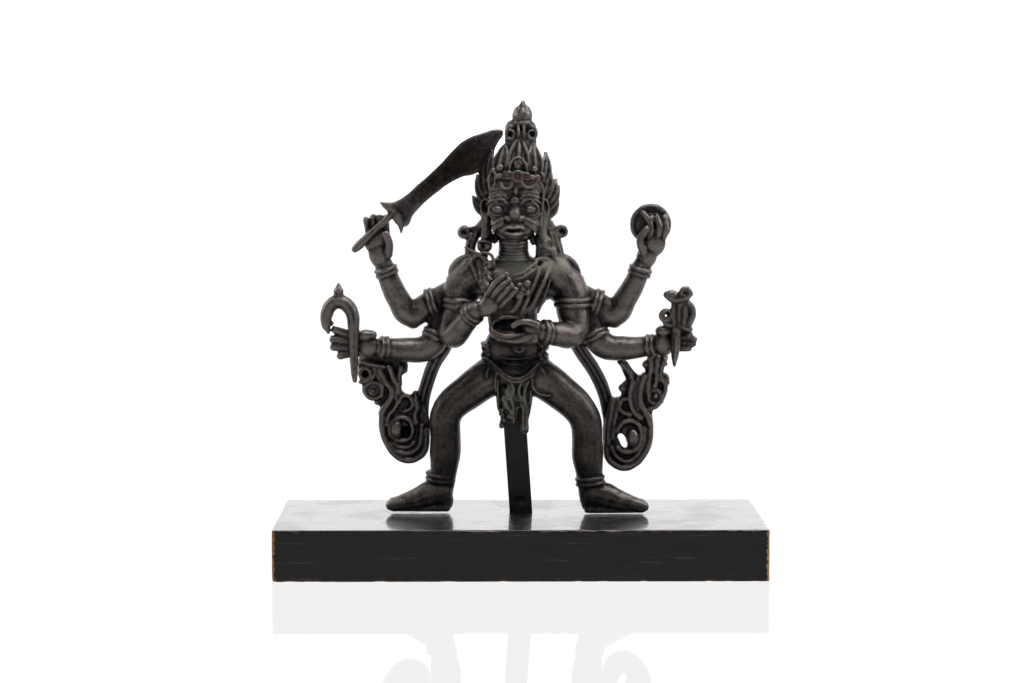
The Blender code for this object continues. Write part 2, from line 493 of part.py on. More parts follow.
def dress(wax):
    """Loincloth, belt, gathered hip cloth, the sash across the chest and ribbons at the shoulder."""
    flap = [(-9.6, 62), (-9.8, 52), (-9.4, 45), (-8.0, 40.6), (-8.2, 36.4), (-6.6, 36.6), (-6.4, 37.8),
            (-2.0, 38.0), (-1.0, 43.0), (-0.3, 45), (0.5, 40), (1.0, 34), (2.9, 34), (3.7, 40), (5.0, 46),
            (5.4, 54), (5.2, 62)]
    wax.plate(flap, 3.8, root=(0, -0.6, 0))
    for x, low in ((-8.6, 45), (-5.2, 40), (-2.2, 42), (1.6, 37), (4.2, 47)):
        wax.rod([(x * 1.05, -5.0, 58), (x, -3.0, 51), (x, -2.6, low)], 0.85)
    wax.rod([(-15.2, 0.2, 66.2), (-9.6, -5.2, 62.0), (-2, -7.2, 58.0), (6.2, -5.2, 61.8),
             (11.2, 0.2, 65.2)], 1.4)
    for side in (-1, 1):
        for n in range(3):
            wax.ball((-2 + side * (12.8 - 0.4 * n), 3.0, 65.6 + 2.6 * n), (2.4, 6.2, 1.8))
    wax.rod([(-15, 7, 66), (-8, 11.4, 64), (-2, 12, 63.6), (4, 11.4, 64), (11, 7, 66)], 2.0)
    wax.rod([(13.6, 1, 107.0), (9.8, -4.0, 102), (6.2, -5.8, 92), (3.4, -6.2, 84)],
            [2.4, 2.6, 2.2, 1.7], flat=0.6)
    wax.rod([(6.7, -4.2, 105.2), (3.4, -5.8, 102.6), (0.6, -6.4, 100.8), (-2.6, -6.6, 99.6)], 1.0)
    wax.rod([(-21.6, -2, 111), (-18.4, -3.6, 109.4), (-14.0, -4.8, 107), (-10.8, -5, 104.4)], 1.3)
    wax.rod([(-17, -3.8, 108), (-19.6, -4.2, 105.2), (-18, -5.4, 100), (-15.0, -8.4, 94.3)], 1.4)
    wax.rod([(-15.6, -3.0, 104.8), (-14.6, -5.2, 100), (-14.2, -8.2, 95.4)], [3.2, 2.8, 1.6], flat=0.7)
    wax.ring((-0.2, -7.4, 70.2), (0, 1, 0), 1.6, 0.7)


def jewellery(wax):
    """Twin bangles on every limb, and the rings of the throat."""
    twins = (((-32.6, 4.2, 15.4), (-0.1, 0.1, -1), 5.8, 1.4), ((29.3, 0.2, 14.4), (0.1, 0, -1), 5.7, 1.4),
             ((-55.1, 3.2, 101.4), (-0.3, -0.1, 1), 4.4, 1.4), ((50, 3.2, 101.3), (0.3, -0.1, 1), 4.4, 1.4),
             ((-56.4, 2.4, 69.5), (-1, -0.2, 0.05), 4.8, 1.3), ((53.2, 2.4, 70.4), (1, -0.2, 0.1), 4.8, 1.3),
             ((-19.6, -10, 84.8), (0.6, -0.6, 0.6), 4.8, 1.3),
             ((10.4, -11.4, 77.2), (-1, -0.5, 0.1), 4.9, 1.3),
             ((-36.6, 7, 88.1), (-1, 0, -0.35), 5.9, 1.3), ((32, 7, 87.8), (1, 0, -0.35), 5.9, 1.3),
             ((-34.6, 5.8, 74.2), (-0.5, -0.1, -1), 5.9, 1.3), ((31.4, 5.8, 74.6), (0.5, -0.1, -1), 5.9, 1.3),
             ((-25.2, 2.6, 88.4), (0, 0, 1), 6.8, 1.4), ((21.8, 1.6, 88.6), (0, 0, 1), 7.5, 1.4))
    for centre, axis, radius, gap in twins:
        along = Vector(axis).normalized() * gap
        for sign in (-1, 1):
            wax.ring(tuple(Vector(centre) + along * sign), axis, radius, 1.1)
    for height, radius in ((113.6, 5.3), (110.6, 5.4), (107.4, 6.4)):
        wax.ring((-2, 2.8, height), (0, 0, 1), radius, 0.9)


def keep_main_shell(mesh):
    """Drops everything but the largest connected skin."""
    skin = bmesh.new()
    skin.from_mesh(mesh)
    unseen = set(skin.verts)
    shells = []
    while unseen:
        edge_of_it = [unseen.pop()]
        shell = list(edge_of_it)
        while edge_of_it:
            here = edge_of_it.pop()
            for edge in here.link_edges:
                there = edge.other_vert(here)
                if there in unseen:
                    unseen.remove(there)
                    edge_of_it.append(there)
                    shell.append(there)
        shells.append(shell)
    shells.sort(key=len, reverse=True)
    loose = [vert for shell in shells[1:] for vert in shell]
    bmesh.ops.delete(skin, geom=loose, context="VERTS")
    skin.to_mesh(mesh)
    skin.free()


def box(name, low, high, collection):
    """A box between two corners, from a cube."""
    mesh = bpy.data.meshes.new(name)
    shape = bmesh.new()
    size = [high[n] - low[n] for n in range(3)]
    middle = [(high[n] + low[n]) / 2 for n in range(3)]
    place = Matrix.Translation(middle) @ Matrix.Diagonal((*size, 1.0))
    bmesh.ops.create_cube(shape, size=1.0, matrix=place)
    shape.to_mesh(mesh)
    shape.free()
    return link(name, mesh, collection)


def as_cutter(piece):
    """Marks a piece as a cutter, which isn't part of the object."""
    piece.hide_render = True
    piece.display_type = "WIRE"
    return piece


def cut(piece, cutter):
    """Takes a cutter out of a piece."""
    taken = piece.modifiers.new("cut_" + cutter.name, "BOOLEAN")
    taken.operation = "DIFFERENCE"
    taken.solver = "EXACT"
    taken.object = cutter


def leaning_bar(name, grow, collection):
    """The post's bar, from the foot of its mortise to the head of its socket, grown all round."""
    half = POST_WIDTH / 2 + grow
    bar = box(name, (-half, -POST_DEPTH / 2 - grow, -POST_FOOT_DEPTH - grow),
              (half, POST_DEPTH / 2 + grow, POST_SOCKET_PARTS * UNIT + grow), collection)
    bar.location = (POST_X, POST_FRONT + POST_DEPTH / 2, BASE_HEIGHT)
    bar.rotation_euler.y = -POST_LEAN
    return bar


def wooden_base(socket):
    """The block, with eased edges and the mortise for the post."""
    block = box("wooden_base", (-BASE_WIDTH / 2, -BASE_DEPTH / 2, 0.0),
                (BASE_WIDTH / 2, BASE_DEPTH / 2, BASE_HEIGHT), STATUE)
    ease = block.modifiers.new("ease", "BEVEL")
    ease.width = BASE_EASE
    ease.segments = 2
    cut(block, socket)
    block.data.materials.append(material("black_lacquered_wood", (0.010, 0.009, 0.009), 0.12, 0.0))
    return block


def support_post():
    """The square bar between the block and the figure."""
    post = leaning_bar("support_post", 0.0, STATUE)
    ease = post.modifiers.new("ease", "BEVEL")
    ease.width = BASE_EASE / 2
    ease.segments = 1
    post.data.materials.append(material("blackened_steel", (0.016, 0.015, 0.016), 0.42, 0.6))
    return post


def bronze_figure(socket):
    """The figure: wax forms melted together, thinned to a faceted skin, then filed and bored."""
    flesh = Wax("flesh")
    body(flesh)
    limbs(flesh)
    whole = Wax("whole")
    whole.add_mesh(flesh.melt(FLESH_VOXEL, 5))
    foot(whole, -27.9, -1, 4.8, LEFT_SOLE)
    foot(whole, 25.8, 1, 1.4, RIGHT_SOLE)
    for form in (sword_hand, disc_hand, goad_hand, sceptre_hand, chest_hand, bowl_hand, face, ears, crown,
                 scarf, scrolls, dress, jewellery):
        form(whole)
    skin = whole.melt(SKIN_VOXEL, 1)
    keep_main_shell(skin)
    figure = link("bronze_figure", skin, STATUE)
    thin = figure.modifiers.new("thin", "DECIMATE")
    skin.calc_loop_triangles()
    thin.ratio = FIGURE_TRIANGLES / len(skin.loop_triangles)
    figure.data = evaluated_mesh(figure)
    figure.modifiers.clear()
    figure.location.z = BASE_HEIGHT
    far = 70.0 * UNIT
    for name, side, sole in (("left_sole", -1, LEFT_SOLE), ("right_sole", 1, RIGHT_SOLE)):
        low = (min(0.0, side * far), -far, BASE_HEIGHT - far)
        high = (max(0.0, side * far), far, BASE_HEIGHT + sole * UNIT)
        cut(figure, as_cutter(box(name, low, high, CUTTERS)))
    cut(figure, socket)
    figure.data.materials.append(material("dark_patinated_bronze", (0.024, 0.021, 0.020), 0.45, 0.85))
    return figure


SOCKET = as_cutter(leaning_bar("post_clearance", FIT_GAP, CUTTERS))
wooden_base(SOCKET)
support_post()
bronze_figure(SOCKET)
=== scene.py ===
# %% [markdown]
# A small cast bronze of a six-armed guardian deity, and how to make its looks.
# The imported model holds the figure, the post that carries it and the lacquered block. This lesson
# models the same figure again with fine carving, dresses the post and the block, and gives every
# surface its finish.

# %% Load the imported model
import math

import bmesh
import bpy
import numpy as np
from mathutils import Matrix, Vector, noise


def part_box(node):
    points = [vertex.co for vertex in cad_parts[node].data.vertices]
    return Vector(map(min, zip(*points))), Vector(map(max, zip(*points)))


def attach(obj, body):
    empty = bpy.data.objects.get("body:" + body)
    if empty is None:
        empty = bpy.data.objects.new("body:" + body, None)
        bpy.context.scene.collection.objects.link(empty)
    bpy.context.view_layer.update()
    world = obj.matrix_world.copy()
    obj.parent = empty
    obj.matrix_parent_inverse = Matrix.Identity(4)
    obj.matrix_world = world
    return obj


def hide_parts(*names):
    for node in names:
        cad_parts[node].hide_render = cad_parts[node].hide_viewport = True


noise.seed_set(17)

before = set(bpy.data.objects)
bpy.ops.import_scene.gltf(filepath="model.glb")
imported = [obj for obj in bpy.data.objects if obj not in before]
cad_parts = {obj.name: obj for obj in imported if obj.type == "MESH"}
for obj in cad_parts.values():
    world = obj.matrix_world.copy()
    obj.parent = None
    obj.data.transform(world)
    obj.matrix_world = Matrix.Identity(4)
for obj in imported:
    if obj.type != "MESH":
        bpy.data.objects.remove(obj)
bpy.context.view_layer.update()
print("nodes:", sorted(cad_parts))

# %% [markdown]
# The figure is 172 millimetres from the block's top to the tip of its finial, so all of its points
# are written in millimetres: x to the right as seen, y away from the viewer, z over the block.
# The frame gives the true scale and the height of the block's top, so a changed frame carries the
# carving with it.

# %% Scale and place from the frame
FIGURE_PARTS = 172.0
BLOCK_LOW, BLOCK_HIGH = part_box("wooden_base")
POST_LOW, POST_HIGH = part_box("support_post")
BLOCK_TOP = BLOCK_HIGH[2]
UNIT = (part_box("bronze_figure")[1][2] - BLOCK_TOP) / FIGURE_PARTS
MM = 0.001


def at(x, y, z):
    """A point of the figure in metres."""
    return Vector((x * UNIT, y * UNIT, BLOCK_TOP + z * UNIT))


print(f"block top at {BLOCK_TOP * 1000:.1f} mm, one figure millimetre is {UNIT * 1000:.4f} mm")

# %% [markdown]
# Lost-wax figures are built up from rolled, pressed and trimmed wax, and then cast in one. The
# same way works here: eggs, rods, rings and leaves are pressed into one lump, and a voxel remesh
# melts them into a single skin. A first lump holds only flesh and is smoothed a lot, a second one
# adds the sharp work on top and is smoothed a little.

# %% The wax lump
def linked(name, data):
    """A new object in the scene."""
    made = bpy.data.objects.new(name, data)
    bpy.context.scene.collection.objects.link(made)
    return made


def evaluated_mesh(piece):
    """The mesh a piece has after its modifiers, in world space."""
    bpy.context.view_layer.update()
    mesh = bpy.data.meshes.new_from_object(piece.evaluated_get(bpy.context.evaluated_depsgraph_get()))
    mesh.transform(piece.matrix_world)
    return mesh


def unit_ball():
    """A ball of radius one, which every egg is a stretched copy of."""
    bpy.ops.mesh.primitive_uv_sphere_add(segments=32, ring_count=20, radius=1.0)
    sphere = bpy.context.object
    mesh = sphere.data
    bpy.data.objects.remove(sphere)
    return mesh


BALL = unit_ball()
ROD_SIDES = 5
ROD_STEPS = 8
RING_KNOTS = 8
print("the ball has", len(BALL.polygons), "faces")

# %% [markdown]
# The lump is a class, because every form goes the same way: it is shaped, placed and kept in a
# list until the melt. An egg is a stretched copy of one ball. A rod, a bangle and a cut leaf are
# curves with a round or flat section, which hold their shape with few numbers.

# %% A lump of modelling wax
class Wax:
    """A lump of modelling wax: simple forms pressed together, then melted into one skin."""

    def __init__(self, name):
        self.name = name
        self.solids = []
        self.curves = []

    def ball(self, centre, radii, turn=0.0):
        """An egg; radii is one number or (across, deep, high), turn leans it sideways, in degrees."""
        size = radii if isinstance(radii, tuple) else (radii, radii, radii)
        place = Matrix.Translation(at(*centre)) @ Matrix.Rotation(math.radians(turn), 4, "Y")
        egg = BALL.copy()
        egg.transform(place @ Matrix.Diagonal((*[r * UNIT for r in size], 1.0)))
        self.solids.append(egg)

    def rod(self, points, radii, flat=1.0, closed=False):
        """A round bar through points; radii is one number or one a point, flat squeezes its depth."""
        sizes = radii if isinstance(radii, (list, tuple)) else [radii] * len(points)
        curve = bpy.data.curves.new("rod", "CURVE")
        curve.dimensions = "3D"
        curve.bevel_depth = 1.0
        curve.bevel_resolution = ROD_SIDES
        curve.resolution_u = ROD_STEPS
        curve.use_fill_caps = True
        spline = curve.splines.new("BEZIER")
        spline.bezier_points.add(len(points) - 1)
        spline.use_cyclic_u = closed
        middle = sum(p[1] for p in points) / len(points)
        for knot, (x, y, z), radius in zip(spline.bezier_points, points, sizes):
            knot.co = at(x, middle + (y - middle) / flat, z)
            knot.radius = radius * UNIT
            knot.handle_left_type = knot.handle_right_type = "AUTO"
        bar = linked("rod", curve)
        bar.scale.y = flat
        bar.location.y = middle * UNIT * (1.0 - flat)
        self.curves.append(bar)
        if not closed:
            for end, radius in ((points[0], sizes[0]), (points[-1], sizes[-1])):
                self.ball(end, (radius, radius * flat, radius))

    def ring(self, centre, axis, radius, wire):
        """A bangle round an axis."""
        turn = Vector((0, 0, 1)).rotation_difference(Vector(axis))
        steps = [2 * math.pi * n / RING_KNOTS for n in range(RING_KNOTS)]
        loop = [turn @ Vector((radius * math.cos(a), radius * math.sin(a), 0)) for a in steps]
        self.rod([tuple(Vector(centre) + p) for p in loop], wire, closed=True)

    def plate(self, outline, thickness, root, turn=0.0, holes=(), ease=0.0):
        """An upright leaf; its outline is (across, up) from its root, turn is about the upright."""
        curve = bpy.data.curves.new("plate", "CURVE")
        curve.dimensions = "2D"
        curve.fill_mode = "BOTH"
        curve.bevel_depth = ease * UNIT
        curve.bevel_resolution = 2
        curve.offset = -ease * UNIT
        curve.extrude = (thickness / 2 - ease) * UNIT
        curve.resolution_u = ROD_STEPS
        for loop in (outline, *holes):
            spline = curve.splines.new("BEZIER")
            spline.bezier_points.add(len(loop) - 1)
            spline.use_cyclic_u = True
            for knot, (across, up) in zip(spline.bezier_points, loop):
                knot.co = (across * UNIT, up * UNIT, 0.0)
                knot.handle_left_type = knot.handle_right_type = "AUTO"
        leaf = linked("plate", curve)
        leaf.location = at(*root)
        leaf.rotation_euler = (math.radians(90.0), 0.0, math.radians(turn))
        self.curves.append(leaf)

    def forms(self):
        """How many forms are in the lump so far."""
        return len(self.solids) + len(self.curves)

    def pressed(self):
        """One mesh of all the forms, which still run through each other."""
        points = []
        faces = []
        for solid in self.solids:
            first = len(points)
            points.extend(vertex.co.copy() for vertex in solid.vertices)
            faces.extend([first + corner for corner in face.vertices] for face in solid.polygons)
        mesh = bpy.data.meshes.new(self.name)
        mesh.from_pydata(points, [], faces)
        return mesh

    def melt(self, voxel, rounds):
        """One skin round everything in the lump, smoothed a number of rounds."""
        bpy.context.view_layer.update()
        seen = bpy.context.evaluated_depsgraph_get()
        for curve in self.curves:
            mesh = bpy.data.meshes.new_from_object(curve.evaluated_get(seen))
            mesh.transform(curve.matrix_world)
            self.solids.append(mesh)
        for curve in self.curves:
            bpy.data.objects.remove(curve)
        lump = linked(self.name, self.pressed())
        skin = lump.modifiers.new("skin", "REMESH")
        skin.mode = "VOXEL"
        skin.voxel_size = voxel
        soften = lump.modifiers.new("soften", "SMOOTH")
        soften.factor = 0.5
        soften.iterations = rounds
        melted = evaluated_mesh(lump)
        bpy.data.objects.remove(lump)
        return melted


flesh = Wax("flesh")
whole = Wax("whole")
print("lumps begun:", flesh.name, "and", whole.name)

# %% [markdown]
# The trunk is broad and short with a full belly, as such guardians have. Overlapping eggs give
# the masses that a sculptor would press on: rib cage, shoulder caps, breast, belly, hips.

# %% Trunk and neck
flesh.ball((-2, 3.5, 98), (15.5, 8.6, 10.5))
flesh.ball((-2, 5.5, 94), (14.5, 8, 12))
flesh.ball((-3, 3, 83), (10.5, 8, 13))
flesh.ball((-2.6, 2, 70), (12, 9, 10.5))
flesh.ball((-2, 4, 59.5), (15.5, 9, 8.5))
for side in (-1, 1):
    flesh.ball((-2 + side * 16, 4, 99.5), (8, 7.2, 7.5))
    flesh.ball((-2 + side * 7, 9.5, 57), (8.5, 6, 8))
    flesh.ball((-2 + side * 7.5, -1.5, 99), (7, 4, 5))
    flesh.ball((-2 + side * 7, 9, 98), (7.5, 4.5, 7))
flesh.rod([(-2, 3.5, 101), (-2, 3.2, 105.5), (-2, 3, 117)], [7.4, 5.6, 5.4])
print("forms in the trunk:", flesh.forms())

# %% [markdown]
# The legs stand wide with bent knees, the six arms leave the shoulders as three pairs. Each limb
# is one rod whose radius swells and narrows along it: that alone gives calf, knee and ankle.

# %% Legs and arms
LIMBS = (([(-9.3, 4, 59.4), (-20.0, 2, 52.2), (-30.2, 0, 42.8), (-30.9, 1.5, 33), (-31, 2.5, 26),
           (-31.7, 3.5, 18), (-32.8, 4.5, 8)], [8.4, 7.6, 6.7, 6.4, 6.7, 5.7, 5.0]),
         ([(5, 3, 59.3), (16.3, 0, 51.8), (26.6, -3, 41.2), (28.0, -2, 32), (28.2, -1, 25),
           (29.0, 0, 17.5), (29.8, 1, 7)],
          [8.6, 7.6, 6.7, 6.4, 6.7, 5.7, 5.0]),
         ([(-18, 6, 97), (-27, 7, 92.3), (-39, 7, 86.6), (-45.4, 6, 83.0), (-50.2, 5, 89.4),
           (-53.6, 4, 96.5), (-56.2, 3, 104)], [6.4, 5.8, 5.3, 5.2, 5.0, 4.6, 3.9]),
         ([(14, 6, 97), (23, 7, 91.8), (34, 7, 86.4), (39.6, 6, 83.4), (43.8, 5, 89.5), (47.2, 4, 95.4),
           (50.7, 3, 103.5)],
          [6.4, 5.7, 5.3, 5.4, 5.0, 4.6, 4.0]),
         ([(-22, 6, 93), (-31, 7, 83), (-33.8, 6, 75), (-38.5, 5, 69.4), (-47.7, 4, 68.6),
           (-57.5, 2, 69.6)],
          [6.2, 5.8, 5.6, 5.6, 5.2, 4.2]),
         ([(18, 6, 93), (28.5, 7, 83), (31, 6, 75.2), (35.4, 5, 70.2), (44, 4, 69.2), (54.5, 2, 70.4)],
          [6.2, 5.8, 5.6, 5.6, 5.1, 4.1]),
         ([(-19, 3, 101), (-24.6, 3, 95), (-25.6, 2, 86), (-28, 0, 75.5), (-23.3, -6, 80),
           (-18.5, -11, 86)],
          [7.4, 6.6, 6.2, 5.8, 4.9, 4.2]),
         ([(15, 3, 101), (20.8, 3, 94), (21.9, 1, 86), (21.8, -3, 76.5), (15, -9, 76.3),
           (9, -12, 77.4)],
          [7.6, 7.2, 7.0, 6.0, 5.2, 4.4]))
for line, radii in LIMBS:
    flesh.rod(line, radii)
ELBOW_KNOBS = ((-44.2, 6, 80.2), (39.4, 6, 80.4))
for elbow in ELBOW_KNOBS:
    flesh.ball(elbow, 3.2)
print("limbs:", len(LIMBS))

# %% [markdown]
# The feet are flat wedges with a high instep. The soles are filed level later, so the rods may run
# a little below them. Toes are five short rods, the big one on the near side. Each foot is given
# by its heel's x, the side it points to, its y and the height of its sole.

# %% Feet
TOES = 5
TOE_PITCH = 1.8
LEFT_FOOT = (-27.9, -1, 4.8, 1.1)
RIGHT_FOOT = (25.8, 1, 1.4, 0.9)
INSTEP = ((5.2, 13.6, 5.2), (10.4, 12.4, 5.2), (14.2, 10.2, 4.5), (18.4, 8.2, 3.8), (22.6, 6.5, 3.1),
          (24.6, 5.8, 2.7))


def foot(heel, way, y, sole):
    """A foot from its heel's x; way is the side it points to, sole the height of its underside."""
    whole.ball((heel + way * 4.6, y, sole + 4.2), (4.9, 4.8, 5.2))
    for across in (-2.2, 0.2, 2.4):
        flat = ((3.6, 1.4), (14, 1.2), (24.4, 1.4))
        whole.rod([(heel + way * along, y + across, sole + up) for along, up in flat], [2.6, 2.4, 2.0])
    for across, share in ((-2.0, 1.0), (1.9, 0.92)):
        line = []
        for along, top, radius in INSTEP:
            line.append((heel + way * along * share, y + across, sole + top * share - radius))
        whole.rod(line, [radius * share for _, _, radius in INSTEP])
    for toe in range(TOES):
        across = y - 3.2 + toe * TOE_PITCH
        thick = 2.3 if toe == 0 else 1.6
        reach = 28.0 - thick - toe * toe * 0.3
        steps = ((18, 4.4), (reach - 1.5, thick + 0.9), (reach, thick + 0.3))
        whole.rod([(heel + way * along, across, sole + up) for along, up in steps],
                  [thick * 1.1, thick * 1.1, thick])


for placed in (LEFT_FOOT, RIGHT_FOOT):
    foot(*placed)
print("forms of the skin after the feet:", whole.forms())

# %% [markdown]
# A hand is an egg for the palm and a rod for each finger. What it holds is made with it, because
# in the casting the two are one. The upper hand at the left swings a sword: its blade is a cut
# leaf that swells towards the tip, its guard two horns.

# %% Sword hand
def finger(points, radius):
    """A finger that thins a little to its tip."""
    whole.rod(points, [radius * (1.08 - 0.2 * n / (len(points) - 1)) for n in range(len(points))])


SWORD_Y = -1
whole.ball((-57.9, 2, 108.6), (4.6, 3.4, 6.2), turn=-12)
whole.ball((-59.3, 2, 114), (5.2, 3.2, 5.6), turn=-8)
for root, tip_x, tip_z in ((-62.6, -63.5, 122.8), (-60.2, -60.5, 124.0), (-57.8, -57.8, 123.8),
                           (-55.2, -55.2, 123.6)):
    finger([(root, 3, 113), (root, 3.4, 118), (tip_x, 1.4, tip_z)], 1.5)
    whole.ball((tip_x, 1.2, tip_z), 1.3)
finger([(-54.4, 0.5, 108.5), (-53.9, -2, 113.4), (-55.2, -3.2, 117.0)], 1.8)
HILT = ((-67.9, 110.8), (-66.2, 112.4), (-60.6, 117.8), (-52.6, 125.2))
whole.rod([(x, SWORD_Y, z) for x, z in HILT], [1.5, 1.9, 1.45, 1.5])
GUARD_HORNS = (((-52.0, 126.4), (-53.6, 128.0), (-55.6, 128.9), (-57.2, 129.9)),
               ((-50.6, 124.4), (-49.6, 122.4), (-49.0, 120.6), (-48.9, 117.6)))
for horn in GUARD_HORNS:
    whole.rod([(x, SWORD_Y, z) for x, z in horn], [2.2, 2.0, 1.3, 0.5], flat=0.7)
BLADE = [(-54.6, 128.5), (-50.9, 130.5), (-48.7, 131.6), (-41.5, 137.6), (-33.2, 145.1), (-27.1, 151.7),
         (-22.9, 155.3), (-15.8, 158.3), (-7.2, 159.7), (-6.6, 158.6), (-8.6, 154.9), (-12.9, 147.1),
         (-17.5, 142.2), (-24.9, 140.0), (-35.3, 133.2), (-43.8, 125.0), (-47.1, 120.1), (-48.9, 121.3),
         (-52.2, 124.6)]
HILT_X = -52.0
whole.plate([(x - HILT_X, z) for x, z in BLADE], 2.0, root=(HILT_X, SWORD_Y, 0.0), turn=5.0, ease=0.6)
print("forms of the skin after the sword hand:", whole.forms())

# %% [markdown]
# The upper hand at the right lifts a flat disc between its fingers. The disc is a round leaf with
# a ring laid on its rim.

# %% Disc hand
whole.ball((52.6, 2.2, 107.6), (4.2, 3.4, 5.6), turn=18)
whole.ball((55.4, 2.0, 112.8), (4.9, 3.3, 5.6), turn=20)
finger([(51.2, 0, 109.4), (49.8, -1, 114.6), (52.2, -0.6, 118.9)], 1.75)
for line in ([(53.4, 0.8, 114), (54.2, 0.2, 119), (52.6, 0.2, 123.4), (51.0, 0.4, 125.4)],
             [(56.2, 0.8, 114), (57.6, 0, 119.5), (56.6, 0.8, 124)],
             [(58.4, 1.4, 113.5), (60.4, 0.6, 119.0), (59.8, 1.4, 123.6)],
             [(57, 5, 113), (58, 6, 119), (56, 5.6, 123)]):
    finger(line, 1.4)
DISC_RADIUS = 8.5
around = [math.radians(45 * n) for n in range(8)]
DISC_X, DISC_Z = 54.2, 120.8
rim = [(DISC_X + DISC_RADIUS * math.cos(a), DISC_Z + DISC_RADIUS * math.sin(a)) for a in around]
whole.plate(rim, 2.2, root=(0, 3, 0), ease=0.5)
whole.ring((DISC_X, 2.3, DISC_Z), (0, 1, 0), DISC_RADIUS - 0.9, 0.8)
whole.ball((54.2, 1.4, 123.0), 2.0)
print("forms of the skin after the disc hand:", whole.forms())

# %% [markdown]
# The low hand at the left grips the shaft of a hooked goad. The shaft and its hook are one rod
# that swells in the bend and ends in a point; a bud sits on the bend's crown.

# %% Goad hand
whole.ball((-63.4, 0.8, 70.4), (5.0, 4.2, 5.4))
whole.ball((-64.0, -1.6, 75.0), (3.6, 3.0, 2.6), turn=-10)
whole.ball((-61.2, -1.6, 75.4), (2.2, 2.2, 1.9))
for root_z, middle_z, tip_x, tip_z in ((74.0, 75.6, -76.4, 77.4), (72.0, 72.6, -77.2, 73.4),
                                       (70.0, 70.0, -77.0, 70.2), (68.0, 67.4, -74.2, 66.6)):
    finger([(-65.6, 0.5, root_z), (-71.0, -0.4, middle_z), (tip_x, -1.4, tip_z)], 1.85)
    whole.rod([(tip_x + 0.6, -1.6, tip_z), (tip_x - 0.8, -2.2, tip_z + 1.6)], [1.1, 0.4])
GOAD = [(-68.2, -4, 56.6), (-68.4, -4, 60), (-68.5, -4, 66), (-68.5, -4, 72.3), (-68.6, -3.6, 79.0),
        (-69.1, -3, 84.0), (-71.0, -3, 87.4), (-74.5, -3, 89.2), (-77.6, -3, 88.0), (-79.5, -3, 84.6),
        (-79.9, -3, 79.6), (-79.0, -3, 76.4)]
whole.rod(GOAD, [1.0, 1.5, 1.8, 2.1, 2.5, 2.8, 3.0, 3.0, 2.9, 2.7, 2.1, 0.7])
whole.rod([(-79.2, -3, 81.4), (-77.2, -3, 80.2)], [1.4, 0.6])
whole.rod([(-68.9, -5.2, 60), (-69.0, -5.6, 70), (-69.3, -5.6, 82), (-71.6, -5.4, 87.6),
           (-75.2, -5.4, 89.0)], 0.7)
whole.ring((-74.7, -3, 91.9), (0, 0, 1), 1.5, 0.7)
whole.rod([(-74.7, -3, 91.6), (-74.7, -3, 93.6), (-74.7, -3, 96.4)], [1.5, 2.2, 0.7])
print("forms of the skin after the goad hand:", whole.forms())

# %% [markdown]
# The low hand at the right holds half of a pronged sceptre: a tapered spike below, curved prongs
# and two round eyes above. All of its rods lie in one upright plane.

# %% Sceptre hand
whole.ball((59.6, 0.8, 71.6), (4.4, 4.2, 5.6))
whole.ball((59.6, -1.2, 76.8), (3.6, 3.0, 2.4))
for root, middle, tip in (((63, 0.5, 76.2), (68.0, -0.6, 76.6), (70.4, -1.8, 75.4)),
                          ((63, 0.5, 73.8), (69.0, -0.6, 74.2), (72.2, -1.8, 73.4)),
                          ((63, 0.5, 71.4), (68.8, -0.6, 71.6), (71.8, -1.8, 71.4)),
                          ((63, 0.5, 69.6), (67.4, -0.6, 69.6), (70.0, -1.6, 69.6))):
    finger([root, middle, tip], 1.45)
SCEPTRE_Y = -3.6
for line, radii in (([(64.6, 77.0), (64.4, 70.6), (64.1, 66.4), (63.9, 62.8)], [2.0, 2.1, 1.5, 0.7]),
                    ([(63.5, 88.4), (63.3, 83.4), (63.9, 79.0)], [1.0, 1.25, 1.3]),
                    ([(66.0, 88.4), (65.7, 83.4), (65.8, 79.0)], [1.0, 1.25, 1.3]),
                    ([(66.0, 87.4), (68.2, 88.8), (70.4, 87.6), (71.3, 84.8), (70.6, 81.6),
                      (69.4, 79.2)], [1.2, 1.3, 1.4, 1.5, 1.5, 1.3]),
                    ([(68.2, 86.6), (68.1, 83.4), (67.7, 80.0)], 1.5),
                    ([(60.2, 80.0), (64.0, 79.0)], 1.2), ([(65.6, 79.2), (70.0, 77.8)], 1.45),
                    ([(60.8, 92.0), (63.0, 90.4), (65.8, 90.2), (68.4, 91.0), (70.0, 92.4)],
                     [1.6, 1.8, 1.7, 1.7, 1.5])):
    whole.rod([(x, SCEPTRE_Y, z) for x, z in line], radii)
whole.ring((60.3, SCEPTRE_Y, 83.4), (0, 1, 0), 1.8, 1.25)
whole.ball((62.8, SCEPTRE_Y, 92.0), (2.9, 1.9, 2.0), turn=8)
whole.ring((68.3, SCEPTRE_Y - 0.4, 92.9), (0, 1, 0), 1.6, 1.15)
whole.rod([(64.5, -5.6, 75), (64.3, -5.6, 70), (63.9, -4.8, 64)], 0.6)
print("forms of the skin after the sceptre hand:", whole.forms())

# %% [markdown]
# The two front hands meet before the chest. The one at the left lifts a budded stem between long
# straight fingers, so its fingers are thin rods side by side and the buds are small eggs.

